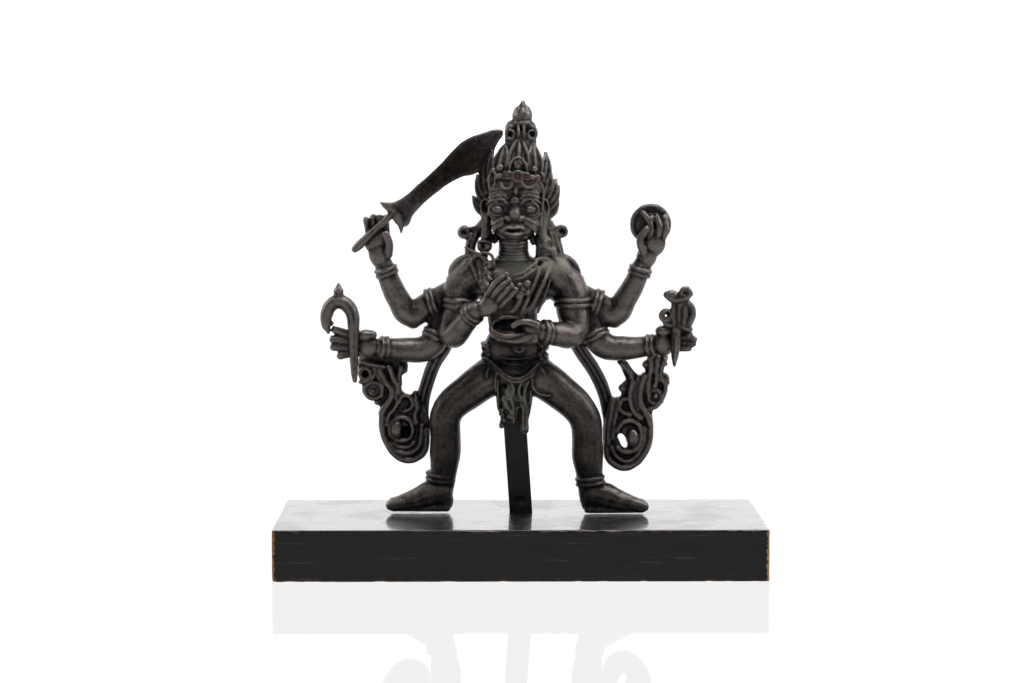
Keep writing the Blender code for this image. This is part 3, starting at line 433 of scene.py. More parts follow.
# %% Raised front hand and its stem
flesh.ball((-12.2, -12.8, 88.8), (6.4, 3.2, 4.4), turn=-38)
for root, middle, tip in (((-13.6, -13.6, 92.4), (-10.0, -15.6, 98.0), (-5.6, -14.6, 101.2)),
                          ((-11.8, -14.2, 91.2), (-8.0, -16.4, 96.0), (-4.6, -15.2, 98.9)),
                          ((-9.8, -14.4, 89.8), (-6.6, -16.6, 93.8), (-3.6, -15.6, 96.6)),
                          ((-7.8, -14.2, 88.2), (-5.0, -16.2, 91.4), (-1.8, -15.4, 94.9))):
    finger([root, middle, tip], 1.2)
    whole.ball(tip, 1.25)
for x, z, radius in ((2.9, 97.4, 1.5), (1.2, 95.2, 1.3), (3.0, 93.6, 1.3), (-0.6, 92.6, 1.5),
                     (-0.4, 96.8, 1.2)):
    whole.ball((x, -13.6, z), radius)
whole.rod([(2.9, -13.2, 97), (3.2, -13.0, 92), (1.6, -12.6, 87.4), (0.6, -11.6, 83.6)], 1.0)
whole.rod([(0.2, -13.6, 93), (-1, -12.4, 89), (-3, -12, 86)], 1.5)
whole.rod([(0.8, -12, 95), (-1, -6, 93)], 2.2)
print("forms of the skin after the raised hand:", whole.forms())

# %% [markdown]
# The other front hand lies over a skull bowl. The bowl is wound from rings that shrink along its
# own leaning direction, like a coiled pot, so that its mouth stays open and its wall stays thin.

# %% Skull bowl and the hand on it
BOWL_MOUTH = Vector((-3.8, -12.6, 79.6))
BOWL_INWARDS = Vector((0, 0.68, -0.73))
BOWL_ACROSS = Vector((0, 0.73, 0.68))
for sunk, wide, wire in ((0.0, 1.0, 0.95), (1.3, 1.0, 1.1), (2.7, 0.92, 1.2), (4.1, 0.74, 1.3),
                         (5.3, 0.48, 1.5), (6.0, 0.2, 1.7)):
    middle = BOWL_MOUTH + BOWL_INWARDS * sunk
    coil = []
    for a in around:
        coil.append(middle + Vector((8.1 * wide * math.cos(a), 0,
                                     0)) + BOWL_ACROSS * (5.2 * wide * math.sin(a)))
    whole.rod([tuple(p) for p in coil], wire, closed=True)
whole.ball((-3.8, -7.6, 74.6), (5.6, 3.6, 3.2))
whole.ball((5.4, -13.4, 78.6), (4.6, 3.6, 4.4))
finger([(6.8, -16.2, 80.6), (2.4, -17.0, 82.0), (-0.6, -16.6, 81.6), (-2.8, -15.8, 80.2)], 1.5)
for n in range(3):
    finger([(5.8, -15.6, 76.4 - n), (-1, -16.2 + 1.4 * n, 74.2 - 0.7 * n),
            (-8.4 + n, -14.6 + 1.4 * n, 74.8 - 0.5 * n)], 1.45)
print("forms of the skin after the bowl:", whole.forms())

# %% [markdown]
# The face is the wrathful mask of such guardians. Its soft masses go into the flesh first: skull,
# cheeks, jaw, the ridge of the nose.

# %% Head
FACE_X = -2.2
flesh.ball((FACE_X, 3, 127), (10.6, 10, 12))
flesh.ball((FACE_X, -1.8, 126.6), (10.2, 7.0, 11))
flesh.ball((FACE_X, -1.2, 120.4), (9.8, 7.4, 5.6))
flesh.ball((FACE_X, -6.0, 119.2), (6.2, 3.4, 3.0))
flesh.ball((FACE_X, -5.8, 117.0), (6.4, 2.8, 2.0))
flesh.rod([(FACE_X, -6.6, 131), (FACE_X, -7.9, 127.8), (FACE_X, -8.9, 125.2)], [1.5, 1.8, 1.9])
flesh.ball((FACE_X, -6.6, 119.4), (7.4, 3.2, 3.6))
print("forms in the flesh after the head:", flesh.forms())

# %% [markdown]
# Bulging eyes under knit brows, furrows over them and folds down the cheeks are rods laid on the
# flesh, written once and mirrored by side. A gentle bend follows the round of the face.

# %% Eyes, brows and cheeks
EYE_Z = 127.4
for side in (-1, 1):
    flesh.ball((FACE_X + side * 6.8, -5.0, 121.8), (3.2, 2.8, 3.4))
    whole.ball((FACE_X + side * 2.5, -8.2, 123.6), (1.9, 1.5, 1.1), turn=-22 * side)
    eye_x = FACE_X + side * 6.6 - 0.2
    whole.ball((eye_x, -6.7, EYE_Z), (2.6, 1.7, 1.9))
    whole.ball((eye_x, -7.6, EYE_Z), (1.7, 1.2, 1.3))
    rim = [(3.5 * math.cos(a), 2.45 * math.sin(a)) for a in (*around, around[0])]
    whole.rod([(eye_x + dx, -7.3 + 0.11 * dx * side + 0.02 * dx * dx, EYE_Z + dz) for dx, dz in rim],
              0.62)
    bag = ((-3.4, -2.6, -8.0), (-0.6, -3.7, -7.8), (2.4, -3.3, -7.0), (4.4, -1.6, -5.6))
    whole.rod([(eye_x + side * dx, dy, EYE_Z + dz) for dx, dz, dy in bag], 0.45)
    brow = ((-3.7, 2.4, -8.2), (-2.4, 3.8, -8.3), (0.0, 4.3, -7.9), (2.6, 3.7, -7.0), (4.4, 2.2, -5.8))
    whole.rod([(eye_x + side * dx, dy, EYE_Z + dz) for dx, dz, dy in brow], [0.5, 0.7, 0.7, 0.65, 0.4])
    for lift, reach in ((5.6, 3.9), (7.0, 3.5), (8.3, 3.0)):
        furrow = ((-reach, lift - 0.9, -8.1), (-reach / 2, lift + 0.3, -8.4), (0.8, lift, -8.0),
                  (reach, lift - 0.9, -6.4))
        whole.rod([(eye_x + side * dx, dy, EYE_Z + dz) for dx, dz, dy in furrow], 0.42)
    for start, sweep in ((-2.8, 0.0), (-3.8, -0.9), (-4.6, -1.9)):
        fold = ((-1.9, start - 1.2, -8.5), (0.4, start - 2.1 + sweep * 0.3, -8.2),
                (1.8, start - 3.0 + sweep * 0.7, -7.4),
                (2.7, start - 3.8 + sweep, -6.4))
        whole.rod([(eye_x + side * dx, dy, EYE_Z + dz) for dx, dz, dy in fold], [0.5, 0.42, 0.4, 0.3])
print("forms of the skin after the eyes:", whole.forms())

# %% [markdown]
# A narrow upright mark sits over the nose, and the lips are two bowed rods. The open mouth between
# them is pressed in after the melt.

# %% Forehead and mouth
whole.ball((FACE_X + 0.6, -8.2, 135.4), (1.0, 0.9, 2.2))
for z, wide in ((131.8, 1.3), (130.4, 1.9), (129.2, 1.5)):
    whole.rod([(FACE_X - wide, -8.1, z - 0.3), (FACE_X, -8.8, z + 0.3), (FACE_X + wide, -8.1, z - 0.3)],
              0.45)
LIP_TOP = ((-5.2, 118.6, -8.6), (-2.9, 119.9, -9.6), (-0.4, 119.4, -10.0), (2.2, 120.0, -9.6),
           (4.6, 118.9, -8.6))
whole.rod([(FACE_X + dx, y, z) for dx, z, y in LIP_TOP], [0.45, 0.55, 0.5, 0.55, 0.45])
LIP_LOW = ((-4.6, 117.9, -8.8), (-1.8, 117.1, -9.8), (1.4, 117.0, -9.8), (4.2, 117.9, -8.8))
whole.rod([(FACE_X + dx, y, z) for dx, z, y in LIP_LOW], [0.45, 0.6, 0.6, 0.45])
for z, reach, y in ((115.9, 5.4, -8.4), (114.9, 5.2, -6.8)):
    whole.rod([(FACE_X - reach, y + 2.6, z + 0.9), (FACE_X, y, z), (FACE_X + reach, y + 2.6, z + 0.9)],
              0.5)
print("forms of the skin after the mouth:", whole.forms())

# %% [markdown]
# Long ears with a rolled rim hang beside the face, with a cup-shaped earring at each lobe and
# strands of hair behind them. The throat has faint rings.

# %% Ears, earrings and the throat's rings
whole.rod([(-13.2, 2, 131.4), (-14.4, 0.6, 128.4), (-14.0, 0.4, 124.6), (-14.2, 0.8, 120.6),
           (-14.6, 0.5, 116.0)],
          [1.7, 1.9, 1.9, 1.6, 1.6], flat=0.8)
whole.rod([(9.2, 2, 131), (10.4, 0.6, 128), (10.2, 0.4, 124.6), (9.6, 0.8, 120.6), (9.4, 0.5, 116.6)],
          [1.7, 1.9, 1.8, 1.6, 1.8], flat=0.8)
whole.rod([(-15.2, -0.8, 124.4), (-16.0, -0.8, 128.6), (-14.2, -1.2, 131.4), (-12.6, -1.8, 129.4),
           (-12.8, -1.8, 125.0)], 0.55)
whole.rod([(11.6, -0.8, 124.4), (11.8, -0.8, 128.4), (10.2, -1.4, 131.2), (8.8, -2.2, 129.0)], 0.55)
whole.rod([(8.0, -3.6, 134), (8.6, -3.2, 129.6), (8.8, -3.0, 124.6), (8.6, -2.6, 120.6)], 0.65)
for jaw, hair in (((3.8, 2, 118.2), (5.6, 4, 113.0)), ((-8.4, 2, 118.0), (-10.4, 4, 113.6))):
    whole.rod([jaw, ((jaw[0] + hair[0]) / 2, 3, 116.4), hair], [2.2, 1.6, 1.0])
for x, y, low in ((7.9, 5.0, 105.0), (9.6, 5.0, 106.0), (11.4, 6.0, 107.0), (-14.6, 6.0, 107.4),
                  (-13.2, 4.0, 113.6)):
    whole.rod([(x, y, 119.6), (x + 0.3, y, 115.4), (x, y - 1, low)], 1.6)
whole.ball((-14.5, 0.5, 112.0), (3.2, 2.8, 3.0))
whole.ring((-14.4, -0.4, 113.4), (0.1, 0.3, 1), 2.5, 0.6)
whole.rod([(9.4, 2.6, 114.6), (10.4, -0.8, 113.6), (11.0, -2.6, 113.0)], [2.4, 2.8, 2.5])
whole.ring((11.3, -3.4, 112.8), (0.3, 1, 0.2), 1.9, 0.65)
whole.rod([(13.4, -1.6, 110.6), (14.6, -2.2, 107.6), (16.0, -3.2, 104.0), (18.2, -3.8, 100.0),
           (20.6, -3.4, 96.4)], [1.6, 0.9, 0.6, 0.55, 0.4])
flesh.rod([(-2.6, 2.8, 117), (-2.6, 2.8, 110), (-2.2, 2.8, 106)], [6.0, 5.9, 6.6])
for height, radius in ((113.2, 5.9), (111.8, 5.9), (110.4, 5.9), (109.0, 6.1), (107.6, 6.6),
                       (106.4, 7.2)):
    whole.ring((-2.5, 2.8, height), (0, 0, 1), radius, 0.36)
print("forms of the skin after the ears:", whole.forms())

# %% [markdown]
# The hair rises in a cone of pointed locks, each with raised veins that meet at its tip. One
# function makes such a leaf from rods side by side, and tables of roots and tips place the rows
# of the front, the flanks and the plainer back.

# %% Flame-like locks of hair
def leaf(root, tip, width, facing, bow=1.0, veins=5, thick=0.72):
    """A pointed leaf of veins from root to tip; facing is the way its front looks."""
    root, tip, facing = Vector(root), Vector(tip), Vector(facing).normalized()
    across = (tip - root).cross(facing).normalized()
    spread = ((0.0, 0.40), (0.35, 0.50), (0.72, 0.30), (1.0, 0.02))
    for n in range(veins):
        side = 2.0 * n / (veins - 1) - 1.0
        raised = 0.4 if n in (0, veins - 1, veins // 2) else -0.25
        points = []
        for share, wide in spread:
            bulge = facing * (bow * math.sin(math.pi * share) + raised)
            points.append(tuple(root.lerp(tip, share) + across * side * wide * width + bulge))
        whole.rod(points, [thick * 1.15, thick * 1.1, thick * 0.9, thick * 0.65])


whole.ball((-1.6, 3.5, 137.0), (12.4, 9.4, 10.0))
whole.ball((-0.8, 3, 146), (9.0, 7.2, 8.4))
LOCKS = (((-0.9, -6.6, 142.5), (-0.2, -2.4, 156.7), 8.2, (0, -1, 0.3), 0.72),
         ((-8.2, -5.2, 142.0), (-5.7, -0.6, 154.0), 6.2, (-0.45, -1, 0.3), 0.66),
         ((6.0, -5.2, 141.5), (5.1, -0.6, 154.6), 6.2, (0.45, -1, 0.3), 0.66),
         ((-12.6, -1.6, 139), (-11.0, 1.8, 151.2), 5.4, (-0.8, -0.8, 0.2), 0.62),
         ((9.2, -1.6, 139), (10.5, 1.8, 150.6), 5.4, (0.8, -0.8, 0.2), 0.62),
         ((-13.6, 0.6, 133.6), (-15.0, 3.4, 145.6), 5.0, (-0.5, -0.9, 0), 0.6),
         ((9.8, 0.6, 135.0), (12.2, 3.4, 143.4), 4.6, (0.5, -0.9, 0), 0.6),
         ((-13.8, 1.8, 130.6), (-17.6, 4.0, 141.2), 4.6, (-0.3, -1, 0), 0.6),
         ((10.8, 1.8, 130.8), (15.0, 4.0, 139.4), 4.8, (0.3, -1, 0), 0.62),
         ((-14.0, 2.8, 125.6), (-19.4, 4.6, 132.4), 4.2, (-0.2, -1, 0), 0.6),
         ((10.6, 2.8, 128.4), (16.2, 4.4, 136.6), 5.2, (0.2, -1, 0), 0.66),
         ((10.2, 2.8, 124.6), (16.0, 4.6, 130.9), 5.2, (0.2, -1, 0), 0.66),
         ((8.8, 3.4, 123.0), (13.4, 4.8, 127.0), 4.0, (0.2, -1, 0), 0.66))
for root, tip, width, facing, thick in LOCKS:
    leaf(root, tip, width, facing, thick=thick)
BACK_LOCKS = (((-1.4, 12.2, 138), (-0.6, 8.4, 155), 9.0, (0, 1, 0.3)),
              ((-8.4, 10.4, 137), (-6.6, 6.8, 152.6), 8.0, (-0.5, 1, 0.3)),
              ((5.8, 10.4, 137), (5.4, 6.8, 152.6), 8.0, (0.5, 1, 0.3)),
              ((-12.2, 7.0, 134), (-12.0, 5.6, 147.2), 6.6, (-1, 0.7, 0.2)),
              ((9.6, 7.0, 134), (10.8, 5.6, 146.6), 6.6, (1, 0.7, 0.2)),
              ((-1.6, 12.8, 124), (-1.4, 12.4, 140), 9.0, (0, 1, 0)),
              ((-8.2, 11.0, 123), (-9.4, 10.6, 138.4), 8.0, (-0.5, 1, 0)),
              ((5.2, 11.0, 123), (6.6, 10.6, 138.4), 8.0, (0.5, 1, 0)),
              ((-11.6, 7.2, 121.5), (-14.6, 6.6, 133.6), 6.2, (-0.8, 0.8, 0)),
              ((8.2, 7.2, 121.5), (11.8, 6.6, 133.2), 6.2, (0.8, 0.8, 0)),
              ((-1.8, 11.8, 114), (-1.7, 12.6, 127), 6.0, (0, 1, 0)),
              ((-5.4, 10.2, 116), (-7.6, 10.8, 127), 5.0, (-0.5, 1, 0)),
              ((2.0, 10.2, 116), (4.2, 10.8, 127), 5.0, (0.5, 1, 0)))
for root, tip, width, facing in BACK_LOCKS:
    leaf(root, tip, width, facing, thick=0.8)
print("locks of hair:", len(LOCKS) + len(BACK_LOCKS))

# %% [markdown]
# Over the brow hangs a cord in swags with jewels between, and a round jewel under an arch. Swags
# are rods, jewels are eggs, and all of them lie on the front of the locks.

# %% Brow jewels
whole.ring((-1.0, -9.0, 141.0), (0, 1, -0.1), 1.9, 0.75)
whole.ball((-1.0, -8.4, 141.0), (1.6, 1.3, 1.6))
whole.rod([(-4.4, -7.8, 143.4), (-3.6, -8.3, 146.6), (-0.9, -8.2, 148.6), (1.8, -8.3, 146.8),
           (3.0, -7.8, 143.0)], 0.6)
whole.ball((-0.9, -6.9, 145.6), (1.6, 1.3, 1.9))
SWAGS = (((-12.0, -4.8, 142.6), (-12.6, -5.8, 138.6), (-11.4, -7.0, 135.4), (-10.2, -7.2, 138.0),
          (-10.2, -6.8, 142.2)),
         ((-7.6, -8.2, 138.4), (-7.2, -8.9, 136.6), (-5.4, -9.3, 135.9), (-3.7, -9.4, 136.8),
          (-3.3, -9.3, 138.6)),
         ((0.5, -9.3, 139.4), (1.4, -9.4, 137.2), (3.4, -9.0, 136.3), (5.8, -8.2, 137.2),
          (6.9, -7.4, 140.0)),
         ((7.2, -7.4, 139.6), (8.6, -6.0, 137.6), (9.4, -4.8, 135.4), (9.4, -4.0, 131.4),
          (9.0, -3.8, 127.0)))
for swag in SWAGS:
    whole.rod(list(swag), 0.68)
for x, y, z, radius in ((-8.2, -7.9, 144.6, 1.5), (-8.5, -8.2, 141.0, 1.35), (5.0, -8.5, 140.6, 1.2),
                        (7.1, -7.6, 140.6, 1.2),
                        (5.8, -7.2, 143.8, 1.4), (-10.9, -5.8, 143.2, 1.1), (9.2, -5.2, 141.4, 1.1)):
    whole.ball((x, y, z), radius)
for z in (140.0, 141.2, 142.4):
    whole.rod([(-6.8, -8.4, z), (-4.8, -9.0, z + 0.2), (-3.4, -9.0, z)], 0.5)
    whole.rod([(1.6, -9.0, z), (3.4, -8.8, z - 0.4)], 0.5)
print("forms of the skin after the jewels:", whole.forms())

# %% [markdown]
# Above the locks sit a knot of hair with two volutes and a bud finial with pointed sepals. A
# volute is a rod along a spiral; the sepals are the same leaf as the locks, set round the bud.

# %% Topknot and finial
whole.rod([(0.3, 2, 150), (0.4, 2, 154.5)], [6.4, 6.2])
for x in (-2.6, 3.4):
    whole.rod([(x, 1.6, 153.4), (x, 1.6, 160.4)], [3.6, 3.5])
for x, side in ((-3.6, -1), (4.7, 1)):
    spiral = []
    for n in range(9):
        turned = math.pi * (0.5 + n / 4)
        reach = 2.2 * (1 - n / 11)
        spiral.append((x + side * 0.1 - side * reach * math.cos(turned), -1.9 - 0.16 * n,
                       158.2 + reach * 1.4 * math.sin(turned)))
    whole.rod(spiral, 0.85)
for x in (-0.6, 1.6):
    whole.rod([(x, -1.8, 162.4), (x, -3.2, 158.6), (x, -3.2, 154.6)], 0.65)
whole.ring((0.9, 2, 162.4), (0, 0, 1), 4.0, 0.75)
whole.ring((0.9, 2, 163.4), (0, 0, 1), 3.6, 0.6)
BUD = [(0.9, 2, 163.0), (1.0, 2, 165.0), (1.1, 2, 167.2), (1.2, 2, 169.4), (1.3, 2, 171.4)]
whole.rod(BUD, [3.1, 3.5, 3.1, 1.9, 0.6])
SEPALS = 8
for n in range(SEPALS):
    angle = 2 * math.pi * n / SEPALS
    out = Vector((math.sin(angle), -math.cos(angle), 0))
    root = Vector((1.0, 2, 163.6)) + out * 3.0
    tip = Vector((1.2, 2, 169.4)) + out * 1.8
    leaf(root, tip, 2.2, out, bow=0.9, veins=3, thick=0.42)
whole.ball((1.3, 2, 171.0), (1.0, 1.0, 0.9))
print("forms of the skin after the finial:", whole.forms())

# %% [markdown]
# A stiff scarf stands off both shoulders and runs across the back behind the arms. It is a flat
# rod with thinner rods laid on as its ridges.

# %% Scarf over the shoulders and the back
whole.rod([(-15.2, 5, 121.5), (-18.4, 6, 116.8), (-20.4, 6, 111.6), (-20.4, 5.4, 107)],
          [1.7, 2.3, 2.3, 2.3], flat=0.7)
whole.rod([(12.2, 5, 121.0), (13.6, 6, 116.6), (15.0, 6, 111.4), (16.2, 5.6, 106.6)],
          [1.9, 2.7, 2.9, 2.8], flat=0.7)
for dx in (-1.2, 0.5):
    whole.rod([(-18.6 + dx, 3.9, 116.8), (-20.6 + dx, 3.9, 111.6), (-20.8 + dx, 3.2, 107.4)], 0.55)
    whole.rod([(14.0 + dx, 3.8, 117.2), (15.6 + dx, 3.7, 111.8), (17.0 + dx, 3.4, 107.0)], 0.55)
whole.rod([(-19.6, 5, 106.6), (-24.4, 4.6, 105.0), (-27.2, 4.6, 102.0), (-28.2, 5, 99),
           (-28.3, 6, 96.4)],
          [2.4, 2.5, 2.3, 1.6, 0.7])
whole.rod([(15.6, 5, 106.8), (20.4, 4.6, 105.0), (22.8, 4.8, 102.2), (24.2, 5.2, 98.8),
           (24.8, 6, 96.0)],
          [2.6, 2.5, 2.2, 1.6, 0.7])
for dy in (-1.4, 0.8):
    whole.rod([(-20.4, 3.4 + dy, 108.2), (-24.8, 2.8 + dy, 106.4), (-28.0, 3.6 + dy, 102.6),
               (-29.2, 4.6 + dy, 98.4)], 0.6)
    whole.rod([(16.4, 3.4 + dy, 108.4), (20.8, 2.8 + dy, 106.4), (24.2, 3.6 + dy, 102.6),
               (25.4, 4.6 + dy, 98.4)], 0.6)
whole.ball((-23.0, 6, 117.4), (2.9, 2.2, 2.9))
whole.ring((-23.0, 4.4, 117.4), (0, 1, 0), 1.8, 0.7)
whole.ball((17.2, 6, 117.8), (2.8, 2.2, 2.8))
whole.ring((17.4, 4.2, 117.8), (0, 1, 0), 2.0, 0.75)
whole.rod([(-21.4, 6, 118.4), (-18.4, 6, 118.8), (-15.2, 5, 120.6), (-12, 5, 121.6)],
          [1.1, 1.3, 1.5, 1.6])
whole.rod([(14.6, 6, 117.6), (12.0, 5, 119.4), (8.6, 5, 121)], [1.3, 1.5, 1.6])
whole.rod([(-27.5, 9, 97), (-16, 12, 92), (-2, 13.4, 89), (12, 12, 92), (24, 9, 97)], 3.2, flat=0.55)
for lift in (-1.5, 1.5):
    whole.rod([(-27.5, 10.6, 97 + lift), (-16, 13.6, 92 + lift), (-2, 15.0, 89 + lift),
               (12, 13.6, 92 + lift), (24, 10.6, 97 + lift)], 0.6)
print("forms of the skin after the scarf:", whole.forms())

# %% [markdown]
# At both sides the scarf falls as a flat band with three ridges on its front and three on its
# back, so one loop lays them all along the same line.

# %% The scarf falls at both sides
LEFT_FALL = [(-27, 9, 78), (-31.8, 9, 68.6), (-35.6, 9, 62.4), (-38.2, 9, 55.4), (-40.2, 9, 48),
             (-40.8, 9, 40), (-40.4, 9, 33)]
RIGHT_FALL = [(21, 9, 77), (25.2, 9, 68.4), (30.9, 9, 59.8), (34.8, 9, 51.8), (37.0, 9, 44),
              (38.0, 9, 36), (38, 9, 28)]
for fall in (LEFT_FALL, RIGHT_FALL):
    whole.rod(fall, [3.1, 3.1, 3.0, 2.9, 2.9, 2.9, 2.8], flat=0.5)
    for dx in (-2.1, 0.0, 2.1):
        for dy in (-1.5, 1.5):
            whole.rod([(x + dx, y + dy, z) for x, y, z in fall], 0.6)
print("forms of the skin after the falls:", whole.forms())

# %% [markdown]
# Under each low hand the scarf ends in a curled piece like a cloud. It is cut from a plate, whose
# outline follows its lobes and notches, and the one at the right is pierced by an eye.

# %% Plates of the curled ends
LEFT_END = [(-66.4, 66), (-67.4, 60.4), (-67.2, 56.7), (-65.9, 53.9), (-65.6, 50.1), (-63.4, 47.6),
            (-59.8, 46.6), (-58.4, 44), (-58.7, 39.4), (-58.0, 34.3), (-57.1, 29.6), (-54.5, 25.4),
            (-50.8, 21.7), (-46.6, 20.3), (-42.4, 21.4), (-38.8, 24.5), (-37.6, 30), (-37.6, 38),
            (-39.4, 45), (-43.5, 49.2), (-45.6, 49.5), (-48.6, 50.6), (-49.3, 53), (-49.2, 57.1),
            (-47.5, 58.8), (-46.6, 62), (-49, 66)]
RIGHT_END = [(40.8, 63.6), (44.6, 63.6), (46.4, 61.2), (48.0, 59.1), (50.3, 57.6), (52.2, 58.4),
             (52.4, 61), (54.6, 66), (61.6, 66.4), (61.6, 63.4), (60.2, 61.4), (60.2, 58.6),
             (62.6, 56.2), (62.3, 53.2), (60.7, 49.9), (59.1, 45.2), (55.8, 42.4), (55.8, 39.1),
             (56.2, 34.4), (55.3, 28.2), (52.9, 23.1), (48.7, 18.8), (43.5, 17.1), (38.8, 18.8),
             (35.8, 22.1), (35.0, 28), (35.4, 39), (38.6, 47.0), (40.7, 48.0), (42.4, 49.0),
             (42.2, 52.4), (43.0, 54.4), (44.3, 55.4), (43.4, 58.2), (42.2, 61.0)]
RIGHT_EYE = [(41.4, 32.6), (41.9, 29.8), (43.6, 27.2), (44.8, 27.0), (44.6, 30.2), (43.0, 32.8)]
END_Y = 8.0
whole.plate(LEFT_END, 2.4, root=(0, END_Y, 0), ease=0.6)
whole.plate(RIGHT_END, 2.4, root=(0, END_Y, 0), holes=[RIGHT_EYE], ease=0.6)
print("corners of the outlines:", len(LEFT_END), len(RIGHT_END))

# %% [markdown]
# Spirals and folds are laid on both faces of the plates as rounded strands, with bosses in their
# middles and small knobs along the edge.

# %% Strands of the curled ends
def coil(points, radius):
    """A rounded strand of the curled ends, the same on both faces."""
    for face in (-1.5, 1.5):
        whole.rod([(x, END_Y + face, z) for x, z in points], radius)


LEFT_COILS = (([(-57.4, 43), (-57.4, 35), (-55.2, 28.4), (-51.0, 23.4), (-46.6, 21.8), (-42.2, 23.2),
                (-39.4, 27), (-38.8, 34)], 1.3),
              ([(-54.6, 29.2), (-52.4, 26.4), (-49.6, 25.0), (-46.2, 24.8), (-42.9, 26.8),
                (-41.4, 30.2), (-40.8, 36)], 1.1),
              ([(-52.6, 29.0), (-50.2, 27.6), (-47, 27.4), (-44.4, 29.0)], 0.75),
              ([(-58.2, 59.6), (-55.9, 55.3), (-53.5, 51.5), (-54.0, 47.8), (-56.0, 44.6),
                (-57.6, 41.8)], 1.5),
              ([(-54.0, 61), (-52.6, 56.7), (-50.9, 53.4), (-50.6, 50.6)], 1.4),
              ([(-49.4, 61), (-50.2, 57), (-50.0, 54)], 1.1),
              ([(-51.8, 49.6), (-51.2, 46.4), (-52.4, 43.6), (-54.6, 41.0), (-55.6, 37)], 1.0),
              ([(-50.2, 46.4), (-49.2, 48.7), (-46.6, 48.7), (-44.8, 46.6), (-45.6, 43.8),
                (-48.0, 42.6)], 0.9),
              ([(-43.4, 48), (-42.6, 44), (-43.6, 41.0), (-43.0, 37.6)], 1.1),
              ([(-66.0, 63.6), (-61, 62.0), (-56.8, 61.4)], 1.2),
              ([(-66.4, 54.8), (-63.8, 55.4), (-61.6, 56.6), (-60.2, 58.8)], 0.9),
              ([(-60.4, 60.4), (-58.6, 57.0), (-57.6, 53.6), (-57.6, 49)], 1.0))
RIGHT_COILS = (([(36.2, 27), (37.2, 22.6), (40.2, 19.6), (43.8, 18.4), (48.4, 20.0), (52.2, 24.2),
                 (54.3, 29), (54.8, 35), (54.4, 40)], 1.25),
               ([(38.4, 27), (41.0, 23.0), (44.4, 21.2), (48.2, 22.8), (50.8, 26.6), (52.2, 31),
                 (52.2, 35)], 0.9),
               ([(40.8, 34.2), (42.6, 37.0), (45.6, 38.2), (48.8, 37.4), (50.7, 34.8), (51.0, 31.2),
                 (49.8, 27.8), (47.2, 25.6), (43.8, 25.2), (41.2, 26.8)],
                1.15),
               ([(52.2, 57.2), (50.9, 53.4), (50.4, 48.6), (51.2, 44.4), (53.2, 41.0), (54.6, 37)],
                1.45),
               ([(47.2, 54.6), (46.2, 50.2), (46.5, 45.6), (48.2, 42.0), (50.6, 39.6)], 1.4),
               ([(49.6, 56.6), (48.5, 52), (48.4, 47.4), (49.4, 43)], 0.95),
               ([(44.6, 47.6), (42.6, 46.8), (41.8, 44.2), (43.2, 42.0), (46.0, 41.0)], 1.1),
               ([(38.8, 47), (38.0, 42), (37.0, 36), (36.8, 29)], 1.5),
               ([(41.2, 47.4), (40.4, 42), (39.4, 37), (39.0, 31)], 1.0),
               ([(58.8, 57.8), (60.6, 55.0), (60.9, 51.4), (59.4, 47.6), (57.2, 44.6), (54.6, 43.4)],
                1.05),
               ([(54.6, 65), (54.9, 61), (54.2, 57.0), (53.8, 53.4), (54.0, 49)], 1.2),
               ([(57.6, 65), (57.3, 60.8), (57.2, 56.6), (56.6, 53.2)], 1.15),
               ([(60.4, 64), (59.4, 60.6), (59.0, 58)], 1.0), ([(42.8, 62.4), (45.0, 60.0),
                                                                (46.6, 57.0), (47.4, 54)], 1.1))
for strand, radius in LEFT_COILS + RIGHT_COILS:
    coil(strand, radius)
for x, z, radius, wire in ((-49.4, 35.0, 4.9, 1.0), (-61.0, 51.3, 3.4, 0.95), (-61.0, 51.3, 1.5, 0.75),
                           (-64.3, 58.3, 2.2, 0.9), (56.6, 48.6, 2.7, 0.95),
                           (60.4, 56.2, 1.5, 0.8)):
    coil([(x + radius * math.cos(a), z + radius * math.sin(a)) for a in (*around, around[0])], wire)
for x, z, wide, high in ((-51.3, 35.0, 2.6, 4.0), (47.3, 31.2, 2.5, 3.9), (56.6, 48.6, 1.2, 1.3),
                         (-60.8, 51.1, 0.8, 0.8)):
    for face in (-1.5, 1.5):
        whole.ball((x, END_Y + face, z), (wide, 2.2, high))
for x, z, radius in ((53.0, 61.9, 1.8), (43.0, 52.2, 1.7), (-48.0, 59.6, 1.3), (-59.6, 46.2, 1.2),
                     (-43.6, 50.0, 1.2), (62.0, 54.4, 1.0),
                     (59.4, 46.4, 1.1), (61.0, 62.2, 1.0), (-66.8, 58.2, 1.0)):
    whole.ball((x, END_Y, z), (radius, 1.8, radius))
print("strands:", len(LEFT_COILS + RIGHT_COILS))

# %% [markdown]
# A flap of cloth hangs before the post. It is a plate with pleats laid on it as thin rods, and
# small eggs at seeded random places give its crumpled middle.

# %% Loincloth
FLAP = [(-9.6, 62), (-9.8, 52), (-9.4, 45), (-8.0, 40.6), (-8.2, 36.4), (-6.6, 36.6), (-6.4, 37.8),
        (-2.0, 38.0), (-1.0, 43.0), (-0.3, 45), (0.5, 40), (1.0, 34), (2.9, 34), (3.7, 40), (5.0, 46),
        (5.3, 54), (5.0, 62)]
whole.plate(FLAP, 3.4, root=(0, -0.4, 0), ease=0.5)
for x, low in ((-9.0, 45), (-2.3, 39.0), (1.4, 36), (3.0, 36), (4.6, 47)):
    whole.rod([(x * 1.05, -5.0, 58), (x, -2.6, 51), (x, -2.2, low)], 0.55)
for n in range(26):
    ripple = Vector((-7.8 + 5.0 * noise.random(), -2.4 - 0.06 * n, 39.6 + 0.66 * n))
    whole.ball(tuple(ripple), (0.9 + 0.5 * noise.random(), 0.8, 0.6 + 0.4 * noise.random()),
               turn=120 * noise.random())
